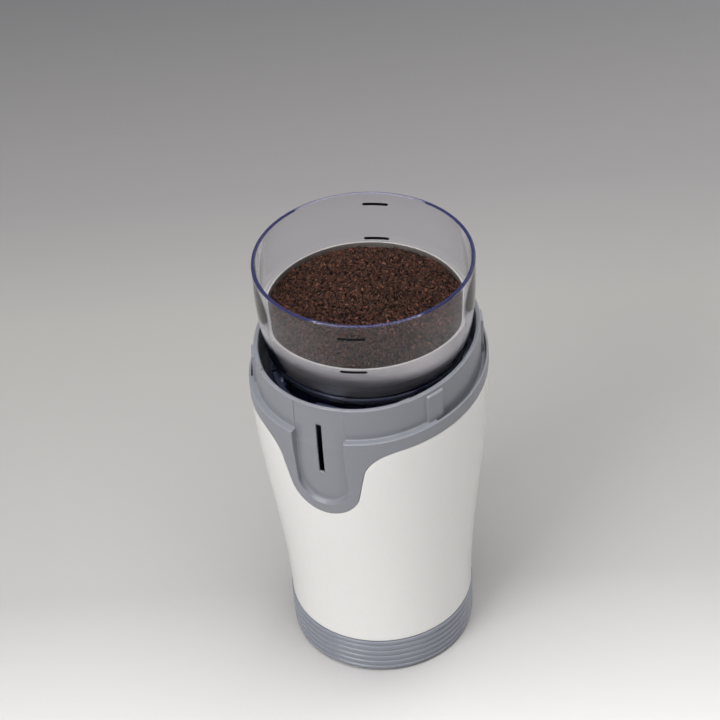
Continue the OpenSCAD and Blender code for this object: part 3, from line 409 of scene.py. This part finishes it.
def make_body():
    front = EDGE[::-1]
    grow = SEAM + BODY_ROUND
    x, z = front[:, 0] + grow * front[:, 2], front[:, 1] + grow * front[:, 3]
    top_th = np.concatenate([angle_of(x, z, body_r), BACK_TH])
    top_z = np.concatenate([z, np.full(len(BACK_TH), LIP_Z - grow)])
    run = np.concatenate([[0], np.cumsum(np.hypot(*np.diff(front[:, :2], axis=0).T))])
    low_th = angle_of(run / run[-1] * front[-1, 0], COLUMN_Z, body_r)
    t = (BACK_TH - TH_EDGE) / (math.pi - TH_EDGE)
    low_th = np.concatenate([low_th, low_th[-1] + (math.pi - low_th[-1]) * t])
    bottom = BASE_TOP + BODY_LIFT

    def upright(heights, inset=0.0):
        """Rows below COLUMN_Z."""
        return [polar(low_th, body_r(low_th, z) - inset, z) for z in heights]

    def fanned(shares, inset=0.0):
        """Rows from there to the seam, where the columns lean over to meet its points."""
        rows = []
        for v in shares:
            th, z = low_th + (top_th - low_th) * v, COLUMN_Z + (top_z - COLUMN_Z) * v
            rows.append(polar(th, body_r(th, z) - inset, z))
        return rows

    rows = upright(np.linspace(bottom + BODY_ROUND, COLUMN_Z, 40)[:-1])
    rows += fanned(np.linspace(0, 1, 26))
    for along, inward in round_steps(BODY_ROUND, [25, 50, 70, 90]):
        rows.append(edge_points(body_r, SEAM + along, inward))
    rows.append(edge_points(body_r, SEAM, WALL))
    rows += fanned(np.linspace(1, 0, 9)[1:], WALL)
    rows += upright(np.linspace(COLUMN_Z, bottom, 16)[1:], WALL)
    for up, inward in round_steps(BODY_ROUND, [90, 65, 40, 20, 0]):
        rows += upright([bottom + up], inward)
    shape = Shape()
    shape.both(np.array(rows))
    ob = shape.object("body_shell", finish["white_shell"])
    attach(ob, "housing")
    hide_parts("housing_shell")


# ------------------------------------------------------------ grey collar

# Section across the channel's edge: how far into the channel, and how deep
ACROSS = np.array([(-0.5, 0), (-0.3, 0.03), (-0.12, 0.14), (0, 0.42), (0.12, 1.0), (0.22, 1.8),
                   (0.34, 2.32), (0.52, 2.62), (0.76, 2.77), (1.05, 2.8)])
ACROSS_DEPTH = ACROSS[:, 1] / ACROSS[-1, 1]
BAND_STEPS = 14
# Where the floor's columns lie, from its edge to the slot's, as shares of its half width
FLOOR_SHARES = [1, 0.88, 0.74, 0.6, 0.46, 0.33, 0.22, 0.15]
SLOT_COLUMNS = 2  # columns of faces between the slot's edge and the middle


def channel_outline():
    """Half of the channel's edge, matched point by point to the apron's."""
    arc_z = CHANNEL_END + CHANNEL_W
    n = FILLET_STEPS + FLANK_STEPS
    first = int(n * 0.6)
    beside_slot = np.linspace(LIP_Z + COLLAR_ROUND, SLOT_Z0, first + 1)
    z = np.concatenate([beside_slot, np.linspace(SLOT_Z0, arc_z, n - first + 1)[1:]])[:n]
    out = [[CHANNEL_W, zz, 1, 0] for zz in z]
    for a in np.linspace(0, math.pi / 2, len(EDGE) - n):
        c, s = math.cos(a), math.sin(a)
        out.append([CHANNEL_W * c, arc_z - CHANNEL_W * s, c, -s])
    return np.array(out)


def channel_depth(z):
    """Depth of the channel's floor, which ends level with the panel above it."""
    end = LIP_OUT + PANEL_LOW
    return CHANNEL_DEPTH + (end - CHANNEL_DEPTH) * ramp(z, LIP_Z - CHANNEL_RUN, LIP_Z)


def collar_front(shape):
    """Add the collar up to the lip: its edge along the seam, the apron and the channel.

    Returns the columns at the top, from the middle outward: their points, their x, and how deep
    each lies in the channel, from 1 on its floor to 0 on the apron.
    """
    rows = [edge_points(collar_r, 0.0, COLLAR_LAP)]
    for along, inward in round_steps(COLLAR_ROUND, [90, 60, 35, 15, 0]):
        rows.append(edge_points(collar_r, -along, inward))
    shape.both(np.array(rows))

    edge = channel_outline()
    outer = EDGE[:, :2] - COLLAR_ROUND * EDGE[:, 2:]
    inner = edge[:, :2] - ACROSS[0, 0] * edge[:, 2:]
    t = np.linspace(0, 1, BAND_STEPS + 1)[None, :, None]
    band = inner[:, None] + (outer - inner)[:, None] * t
    apron = on_skin(band[..., 0], band[..., 1], collar_r)
    shape.both(apron)

    wide = 1 + 1.3 * ramp(-edge[:, 3], 0.1, 1.0)  # the wall leans more at the channel's foot
    into = ACROSS[:, 0] * np.where(ACROSS[:, 0] > 0, wide[:, None], 1)
    at = edge[:, None, :2] - into[..., None] * edge[:, None, 2:]
    sunk = ACROSS_DEPTH * channel_depth(edge[:, 1])[:, None]
    wall = on_skin(at[..., 0], at[..., 1], collar_r, sunk)
    shape.both(wall)

    shares = np.array([*FLOOR_SHARES, SLOT_HALF / at[0, -1, 0], 0.05, 0])
    floor_x = at[:, -1, :1] * shares
    floor_z = np.repeat(at[:, -1, 1:], len(shares), 1)
    floor = on_skin(floor_x, floor_z, collar_r, channel_depth(floor_z))
    keep = np.ones((len(edge) - 1, len(shares) - 1), bool)
    keep[edge[1:, 1] >= SLOT_Z0 - 0.01, -SLOT_COLUMNS:] = False
    shape.both(floor, keep=keep)

    def outward(on_floor, on_wall, on_apron):
        return np.concatenate([on_floor[:0:-1], on_wall[:0:-1], on_apron])

    points = outward(floor[0], wall[0], apron[0])
    x = outward(floor_x[0], at[0, :, 0], band[0, :, 0])
    sunk = outward(np.ones(len(shares)), ACROSS_DEPTH, np.zeros(BAND_STEPS + 1))
    return points, x, sunk


def back_angles():
    """The collar's columns beside and behind the apron, with more at the pads' flanks."""
    marks = []
    for c in (PAD_TH, math.pi - PAD_TH):
        r = float(oval_r(c))
        marks += [c + s * d / r for d in (3.45, 3.62, 3.74, 3.86, 4.1) for s in (-1, 1)]
    marks += TRENCH_FROM
    return np.array(sorted([t for t in BACK_TH if min(abs(t - m) for m in marks) > 0.008] + marks))


def ring_profiles():
    """From the lip up to the rim, as offset from the spigot's face and height.

    One has a plain ledge, as at the front, and one a trench beside the spigot, as at the back.
    Also returns how many of the points lie below the spigot's face.
    """
    lip = [(LIP_OUT, z) for z in (130.25, 130.8, 131.6, 132.5, 133.4, 134.3, 134.9)]
    lip += arc(LIP_OUT - 0.45, LEDGE_Z - 0.45, 0.45, 0, 90, 6)
    ledge = [(off, LEDGE_Z) for off in (1.95, 1.9, 1.7, 1.4, 1.1, 0.9, 0.6)]
    ledge += [(0.4, 135.92), (0.22, 136.0), (0.08, 136.15), (0, 136.4)]
    trench = [(1.98, 135.88), (1.9, 135.78), (1.86, 135.5), (1.84, 133.4), (1.6, 132.95),
              (0.9, 132.9), (0.3, 132.95), (0.05, 133.3), (0, 134.2), (0, 135.4), (0, 136.4)]
    up = [(0, z) for z in (136.8, 138.2, 139.7, SLOT_Z1, 142.3, 143.9, 145.6, 147.3, 147.8, 148.0,
                           148.12, 148.24, 148.5, 148.9)]
    up += arc(-0.4, RIM_Z - 0.4, 0.4, 0, 90, 5)
    up += [(-0.9, RIM_Z)] + arc(-1.4, RIM_Z - 0.4, 0.4, 90, 180, 5) + [(-1.8, 148.8), (-1.8, 148.4)]
    return np.array(lip + ledge + up), np.array(lip + trench + up), len(lip) + len(ledge)


def panel_inset(k, z):
    """How far the panel over the channel is set in. It fades out at the rim."""
    above = float(ramp(k, 0.1, 0.7)) * PANEL_STEP / max(k, 0.01)
    step = PANEL_LOW + (above - PANEL_LOW) * float(ramp(z, 131, 136))
    return step * k * (1 - float(ramp(z, 148.9, RIM_Z)))


def ring_front(x, k, off, z, even_z):
    """A point over the apron, or over the channel where k is 1: there the ledge fades out."""
    if off > 0:
        off *= 1 - k
    off -= panel_inset(k, z)
    z += (even_z - z) * float(ramp(k, 0.6, 0.95))
    th = float(angle_of(x, z, lambda a, _: oval_r(a, off)))
    return polar(th, oval_r(th, off), z)


def ring_back(th, off, z):
    """A point beside or behind the apron, moved out where a guide pad stands on the spigot."""
    near = min(abs(th - PAD_TH), abs(th - math.pi + PAD_TH)) * float(oval_r(th))
    pad = PAD_OUT * (1 - float(ramp(near, *PAD_FLANK))) * (1 - float(ramp(z, *PAD_FADE)))
    if pad > 0.001:
        off = max(off, pad)
    return polar(th, oval_r(th, off), z)


def collar_top(shape, points, x, sunk):
    """Add the ring above: the same columns, carried up over the ledge, the spigot and the rim."""
    th_back = back_angles()
    start_z = LIP_Z + COLLAR_ROUND
    plain, trenched, n_low = ring_profiles()
    even = np.linspace(plain[0, 1], plain[n_low, 1], n_low + 1)
    rows = [np.concatenate([points, polar(th_back, collar_r(th_back, start_z), start_z)])]
    for i in range(1, len(plain)):
        off, z = plain[i]
        even_z = even[i] if i < n_low else z
        line = [ring_front(xx, k, off, z, even_z) for xx, k in zip(x, sunk)]
        for th in th_back:
            g = float(ramp(th, *TRENCH_FROM))
            line.append(ring_back(th, *(plain[i] + (trenched[i] - plain[i]) * g)))
        rows.append(np.array(line))
    rows = np.array(rows)
    keep = np.ones((len(rows) - 1, rows.shape[1] - 1), bool)
    keep[rows[1:, 0, 2] <= SLOT_Z1 + 0.01, :SLOT_COLUMNS] = False
    shape.both(rows, keep=keep)


def make_collar():
    shape = Shape()
    collar_top(shape, *collar_front(shape))
    ob = shape.object("collar", finish["grey_collar"], away_from=Vector((0, 0, 120)))
    thick = ob.modifiers.new("wall", "SOLIDIFY")
    thick.thickness = COLLAR_T * MM
    thick.offset = -1
    thick.use_rim = True
    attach(ob, "housing")
    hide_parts("top_collar")


# ------------------------------------------------------------ base ring


def ring_r(z):
    """Radius of the base ring over its ribs: it swells a little toward the top."""
    return WAIST_R + RING_PROUD - RING_BULGE * (1 - (z - FOOT_H) / RING_H) ** 2


def make_ring():
    pitch = RING_H / (RING_GROOVES + 0.6)
    line = [(RING_IN, FOOT_H + 0.6), (ring_r(FOOT_H) - 1.4, FOOT_H)]
    line += arc(ring_r(FOOT_H) - 0.5, FOOT_H + 0.5, 0.5, -80, 0, 5)
    for i in range(RING_GROOVES):
        z = FOOT_H + pitch * (i + 0.75)
        r = ring_r(z)
        # a groove: its lower edge, its floor and its upper edge
        line += arc(r - 0.42, z - 0.86, 0.42, 0, 78, 6)
        line += [(r - 0.55, z - 0.3), (r - 0.6, z - 0.1), (r - 0.6, z + 0.12), (r - 0.5, z + 0.32)]
        line += arc(r - 0.3, z + 0.72, 0.3, -70, 0, 4)
    seam_z, collar_z = BASE_TOP - RING_SEAM_H, BASE_TOP + RING_COLLAR_H
    line += arc(ring_r(BASE_TOP) - RING_ROUND, seam_z - RING_ROUND, RING_ROUND, 0, 90, 6)
    line += [(RING_SEAM_R + 0.05, seam_z), (RING_SEAM_R, BASE_TOP), (RING_COLLAR_R, BASE_TOP)]
    line += [(RING_COLLAR_R, collar_z), (RING_IN, collar_z)]
    shape = Shape()
    shape.grid(lathe(line + line[:1], 200), wrap=True)
    ob = shape.object("ribbed_ring", finish["ring_plastic"], angle=50)
    # the cord's inlet: a lathed pin, laid along +Y through the ring's back
    pin = lathe([(0, 30), (INLET_R, 30), (INLET_R, 42), (0, 42)], 48)
    mid_z = FOOT_H + RING_H / 2
    hole = Shape()
    hole.grid(np.stack([pin[..., 0], pin[..., 2], pin[..., 1] + mid_z], -1), wrap=True)
    cut(ob, hole.object("inlet_cutter", finish["ring_plastic"]))
    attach(ob, "housing")
    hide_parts("base_ring")


# ------------------------------------------------------------ clear chamber


def wall_r(z):
    """Outer radius of the chamber's wall, which flares most near its foot."""
    u = (z - CHAMBER_Z - CHAMBER_ROUND) / (CHAMBER_RIM_Z - CHAMBER_Z - CHAMBER_ROUND)
    return CHAMBER_FOOT_R + (CHAMBER_RIM_R - CHAMBER_FOOT_R) * (1 - (1 - np.clip(u, 0, 1)) ** 3)


def inner_r(z):
    """Inner radius of that wall, which thins from the bowl's rim to its own."""
    thin = (CHAMBER_WALL - RIM_WALL) * ramp(z, BOWL_RIM_Z + 1, CHAMBER_RIM_Z - 1)
    return wall_r(z) - CHAMBER_WALL + thin


def make_chamber():
    foot_r, foot_z = CHAMBER_FOOT_R - CHAMBER_ROUND, CHAMBER_Z + CHAMBER_ROUND
    floor_z, chamfer, out_round, in_round = CHAMBER_Z + CHAMBER_WALL, 0.3, 0.6, 0.45
    zs = np.linspace(foot_z, CHAMBER_RIM_Z - 0.8, 26)[1:]
    line = [(BOSS_BORE, BOSS_LOW), (BOSS_R - chamfer, BOSS_LOW), (BOSS_R, BOSS_LOW + chamfer)]
    line += [(BOSS_R, CHAMBER_Z - chamfer), (BOSS_R + chamfer, CHAMBER_Z)]
    line += [(r, CHAMBER_Z) for r in (14, 20, 26)]
    line += arc(foot_r, foot_z, CHAMBER_ROUND, -90, 0, 20)
    line += [(float(wall_r(z)), z) for z in zs]
    line += arc(CHAMBER_RIM_R - out_round, CHAMBER_RIM_Z - out_round, out_round, 0, 90, 8)
    in_r = CHAMBER_RIM_R - RIM_WALL + in_round
    line += arc(in_r, CHAMBER_RIM_Z - in_round, in_round, 90, 180, 6)
    line += [(float(inner_r(z)), z) for z in zs[::-1]]
    line += arc(foot_r, foot_z, CHAMBER_ROUND - CHAMBER_WALL, 0, -90, 16)
    line += [(r, floor_z) for r in (26, 20, 14)]
    line += [(BOSS_R + chamfer, floor_z), (BOSS_R, floor_z + chamfer)]
    line += [(BOSS_R, BOSS_TOP - chamfer), (BOSS_R - chamfer, BOSS_TOP), (BOSS_BORE, BOSS_TOP)]
    shape = Shape()
    shape.grid(lathe(line + line[:1], 192), wrap=True)
    ob = shape.object("chamber_glass", finish["clear_smoky"])
    # Painted light: the rim's top gets a half-opaque blue-violet colour, the glass's tint standing
    # in for the light bent and darkened in its edge; its blotches stand for glints
    rim_tint_and_edge_light = material("clear_rim_look", "#3f4379", 0.1, vary=0.12, grain=40.0, bump=0.01, Alpha=0.42)
    ob.data.materials.append(rim_tint_and_edge_light)
    for face in ob.data.polygons:
        if face.center.z > (CHAMBER_RIM_Z - RIM_BAND) * MM:
            face.material_index = 1
    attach(ob, "chamber")
    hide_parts("chamber_shell")


def make_bars():
    """The marks at two filling levels, on both sides of the chamber."""
    ink = material("level_ink", "#0b0b0e", 0.6, vary=0.1, grain=2500.0, bump=0.03,
                   Specular_IOR_Level=0.12)
    # a bar's section, closed: how far out from the wall, and how high
    h, face_h = BAR_HALF_H, BAR_HALF_H - 0.03
    section = ((0.005, -h), (BAR_OUT, -face_h), (BAR_OUT, face_h), (0.005, h), (0.005, -h))
    u = np.linspace(-1, 1, 17)
    past = ((np.abs(u) * BAR_HALF_W - (BAR_HALF_W - BAR_ROUND)) / BAR_ROUND).clip(0, 1)
    end = np.sqrt(np.clip(1 - past**2, 0, 1))  # rounds the ends off
    shape = Shape()
    for az in (BAR_AZ, BAR_AZ + math.pi):
        for down in BAR_DOWN:
            mid_z = CHAMBER_RIM_Z - down
            th = az + u * BAR_HALF_W / float(wall_r(mid_z))
            ring = []
            for out, up in section:
                z = mid_z + up * (0.25 + 0.75 * end)
                ring.append(polar(th, wall_r(z) + out, z))
            shape.grid(np.array(ring))
    ob = shape.object("level_bars", ink)
    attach(ob, "chamber")


# ------------------------------------------------------------ ground coffee

GRAINS, QUICK_GRAINS = 10000, 6000


def coffee_look():
    """Brown grains, each with one of six shades."""
    m = material("coffee_look", "#2c1a12", 0.8, vary=0.3, grain=1500.0, bump=0.3,
                 Specular_IOR_Level=0.2)
    tree = m.node_tree
    shades = shade_ramp(tree, [(0, "#150c08"), (0.3, "#372017"), (0.55, "#482c1f"),
                               (0.75, "#2a1812"), (0.86, "#583526"), (0.95, "#70473a")], "CONSTANT")
    tree.links.new(add_node(tree, "NewGeometry").outputs["Random Per Island"], shades.inputs[0])
    base = tree.nodes["Principled BSDF"].inputs["Base Color"]
    blend = add_node(tree, "Mix", data_type="RGBA", Factor=0.75)
    a, b = colours(blend.inputs)[:2]
    tree.links.new(base.links[0].from_socket, a)
    tree.links.new(shades.outputs[0], b)
    tree.links.new(colours(blend.outputs)[0], base)
    return m


def make_coffee():
    """A heap with a closed underside, and grains strewn over it."""
    rng = np.random.default_rng(7)
    edge_r = float(wall_r(BOWL_RIM_Z)) - CHAMBER_WALL - 0.1 - BOWL_T - 0.5
    edge_z = BOWL_RIM_Z - COFFEE_DOWN

    def top_z(x, y):
        q = np.hypot(x, y) / edge_r
        return edge_z + COFFEE_PEAK * (1 - np.clip(q, 0, 1) ** 2) ** 0.9

    shape = Shape()
    seg = 160
    radii = edge_r * np.linspace(0, 1, 60) ** 0.9
    turns = np.linspace(0, 2 * math.pi, seg, endpoint=False)
    rows = []
    for r in radii[::-1]:
        row = []
        for t in turns:
            x, y = r * math.sin(t), -r * math.cos(t)
            lumps = noise.noise(Vector((x, y, 3)) * 0.55) * 0.45
            lumps += noise.noise(Vector((x, y, 9)) * 1.6) * 0.35
            row.append((x, y, float(top_z(x, y)) + lumps * min(1, (edge_r - r) / 3 + 0.3)))
        rows.append(row)
    under = [(edge_r, edge_z - 1.5), (edge_r - 1, edge_z - 4.5), (edge_r - 4, 156.0), (20, 155.6),
             (0.0, 155.6)]
    rows = [*lathe(under[::-1], seg).tolist(), *rows]
    shape.grid(np.array(rows), wrap=True)
    heap_faces = len(shape.f)

    ball = bmesh.new()
    bmesh.ops.create_icosphere(ball, subdivisions=1, radius=1)
    unit = np.array([v.co[:] for v in ball.verts])
    tris = [[v.index for v in f.verts] for f in ball.faces]
    ball.free()
    for _ in range(GRAINS):
        r, t = (edge_r - 0.6) * math.sqrt(rng.random()), rng.random() * 2 * math.pi
        x, y = r * math.sin(t), -r * math.cos(t)
        size = 0.34 + 0.5 * rng.random() ** 2
        stretch = 0.6 + 0.7 * rng.random(3)
        turn, _ = np.linalg.qr(rng.normal(size=(3, 3)))
        warp = 1 + 0.28 * rng.normal(size=(len(unit), 1)).clip(-1.4, 1.4)
        pts = (unit * warp * stretch * size) @ turn.T
        z = float(top_z(x, y)) + (rng.random() - 0.25) * 0.55
        n = len(shape.v)
        shape.v.extend((pts + (x, y, z)).tolist())
        shape.f.extend([tuple(n + i for i in f) for f in tris])
    ob = shape.object("ground_coffee", coffee_look(), angle=30, merge=0.0)
    # Painted shade: the heap under the grains is near black, darker than the grains, standing for
    # the shade in the gaps between them
    gap_shade = material("coffee_gap_shade", "#140c08", 0.9, vary=0.3, grain=1800.0, bump=0.4,
                    Specular_IOR_Level=0.08)
    ob.data.materials.append(gap_shade)
    for face in ob.data.polygons[:heap_faces]:
        face.material_index = 1
    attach(ob, "chamber")


# ------------------------------------------------------------ camera, floor and light, in metres

TURN = Matrix.Rotation(math.radians(24.85), 3, "Z")  # from the grinder's front to the camera
EYE = (0, -637.6, 664.2)  # in mm
DOWN, PAN, TILT, ROLL = (math.radians(a) for a in (46.12, -0.52, 6.43, -3.87))
LENS, LENS_SHIFT = 108.65, 0.0146

LAMPS = {  # place, width and height, and power
    "key": ((-0.72, -0.74, 0.95), (0.6, 0.6), 10.6),
    "fill": ((0.9, -0.9, 0.6), (0.8, 0.8), 0.9),
    "back": ((0.75, 0.8, 0.75), (1.0, 0.8), 4.5),
    "top": ((0.0, -0.2, 1.15), (0.9, 0.9), 11.4),
}
LAMP_TARGET = Vector((0, 0, 0.1))
SKY, SKY_STRENGTH = (1.0, 0.985, 0.965, 1), 0.32

BACKDROP = "#bfbfbe"
FLOOR_HALF, FLOOR_LINES = 3.0, 24
FLOOR_FADE = (0.56, 1.5)  # distances over which the floor turns into the backdrop
FLOOR_RUN = (-0.5, 0.55)  # from the nearest shade to the farthest
# Painted light: the floor is lightest a little before the grinder, a bit darker toward the near
# edge, and darker and darker from the grinder back, standing in for light falling off across it
FLOOR_PAINTED_LIGHT = [(0, "#acabab"), (0.2, "#bebdbd"), (0.4, "#d0cece"), (0.49, "#a7a5a4"),
                (0.67, "#9b9997"), (0.766, "#888687"), (1, "#6a6a6c")]


def make_camera():
    look = Vector((0, math.cos(DOWN), -math.sin(DOWN))) + math.tan(PAN) * Vector((1, 0, 0))
    look = (look + math.tan(TILT) * Vector((0, math.sin(DOWN), math.cos(DOWN)))).normalized()
    right = look.cross(Vector((0, 0, 1))).normalized()
    up = right.cross(look)
    c, s = math.cos(ROLL), math.sin(ROLL)
    right, up = c * right + s * up, c * up - s * right
    right, up, look = TURN @ right, TURN @ up, TURN @ look
    data = bpy.data.cameras.new("camera")
    data.sensor_width = 36
    data.lens = LENS
    data.shift_x = LENS_SHIFT
    cam = bpy.data.objects.new("camera", data)
    bpy.context.scene.collection.objects.link(cam)
    m = Matrix((right, up, -look)).transposed().to_4x4()
    m.translation = (TURN @ Vector(EYE)) * MM
    cam.matrix_world = m
    bpy.context.scene.camera = cam


def area_lamp(name, place, size, power):
    data = bpy.data.lights.new(name, "AREA")
    data.shape = "RECTANGLE"
    data.size, data.size_y = size
    data.energy = power
    lamp = bpy.data.objects.new(name, data)
    bpy.context.scene.collection.objects.link(lamp)
    lamp.location = TURN @ Vector(place)
    lamp.rotation_mode = "QUATERNION"
    lamp.rotation_quaternion = (LAMP_TARGET - lamp.location).to_track_quat("-Z", "Y")


def seen_directly(tree):
    """1 for rays from the camera, in a mirror image or through glass, and 0 for light."""
    path = add_node(tree, "LightPath")
    out = path.outputs["Is Camera Ray"]
    for name in ("Is Glossy Ray", "Is Transmission Ray"):
        both = add_node(tree, "Math", operation="MAXIMUM")
        tree.links.new(out, both.inputs[0])
        tree.links.new(path.outputs[name], both.inputs[1])
        out = both.outputs[0]
    return out


def make_floor():
    """A sheet with the photo's shades, from near to far, that fades into the backdrop."""
    side = np.linspace(-FLOOR_HALF, FLOOR_HALF, FLOOR_LINES)
    cells = range(FLOOR_LINES - 1)
    corners = [j * FLOOR_LINES + i for j in cells for i in cells]
    faces = [(c, c + 1, c + FLOOR_LINES + 1, c + FLOOR_LINES) for c in corners]
    me = bpy.data.meshes.new("floor")
    me.from_pydata([(x, y, 0.0) for y in side for x in side], [], faces)
    ob = bpy.data.objects.new("floor", me)
    bpy.context.scene.collection.objects.link(ob)

    m = material("floor_look", "#b4b4b4", 0.6, vary=0.01, grain=300.0, bump=0.0)
    tree = m.node_tree
    links, shader = tree.links, tree.nodes["Principled BSDF"]
    place = tree.nodes["Texture Coordinate"].outputs["Object"]
    split = add_node(tree, "SeparateXYZ")
    far = add_node(tree, "MapRange", From_Min=FLOOR_RUN[0], From_Max=FLOOR_RUN[1])
    shades = shade_ramp(tree, FLOOR_PAINTED_LIGHT)
    links.new(place, split.inputs[0])
    links.new(split.outputs[1], far.inputs["Value"])
    links.new(far.outputs[0], shades.inputs[0])
    links.new(shades.outputs[0], shader.inputs["Base Color"])

    away = add_node(tree, "VectorMath", operation="LENGTH")
    fade = add_node(tree, "MapRange", interpolation_type="SMOOTHERSTEP",
                    From_Min=FLOOR_FADE[0], From_Max=FLOOR_FADE[1])
    seen = add_node(tree, "Math", operation="MULTIPLY")
    glow = add_node(tree, "Emission", Color=rgb(BACKDROP))
    blend = add_node(tree, "MixShader")
    links.new(place, away.inputs[0])
    links.new(away.outputs["Value"], fade.inputs["Value"])
    links.new(fade.outputs[0], seen.inputs[0])
    links.new(seen_directly(tree), seen.inputs[1])
    links.new(seen.outputs[0], blend.inputs[0])
    links.new(shader.outputs[0], blend.inputs[1])
    links.new(glow.outputs[0], blend.inputs[2])
    links.new(blend.outputs[0], tree.nodes["Material Output"].inputs["Surface"])
    me.materials.append(m)
    ob.matrix_world = TURN.to_4x4()


def make_world():
    """Soft light from all round, and the backdrop's colour where it is seen directly."""
    world = bpy.data.worlds.new("world")
    bpy.context.scene.world = world
    world.use_nodes = True
    tree = world.node_tree
    light = tree.nodes["Background"]
    light.inputs["Color"].default_value = SKY
    light.inputs["Strength"].default_value = SKY_STRENGTH
    drop = add_node(tree, "Background", Color=rgb(BACKDROP))
    blend = add_node(tree, "MixShader")
    tree.links.new(seen_directly(tree), blend.inputs[0])
    tree.links.new(light.outputs[0], blend.inputs[1])
    tree.links.new(drop.outputs[0], blend.inputs[2])
    tree.links.new(blend.outputs[0], tree.nodes["World Output"].inputs["Surface"])


make_body()
make_collar()
make_ring()
make_chamber()
make_bars()
make_coffee()
make_camera()
make_floor()
for name, words in LAMPS.items():
    area_lamp(name, *words)
make_world()

bpy.context.scene.view_settings.view_transform = "Standard"
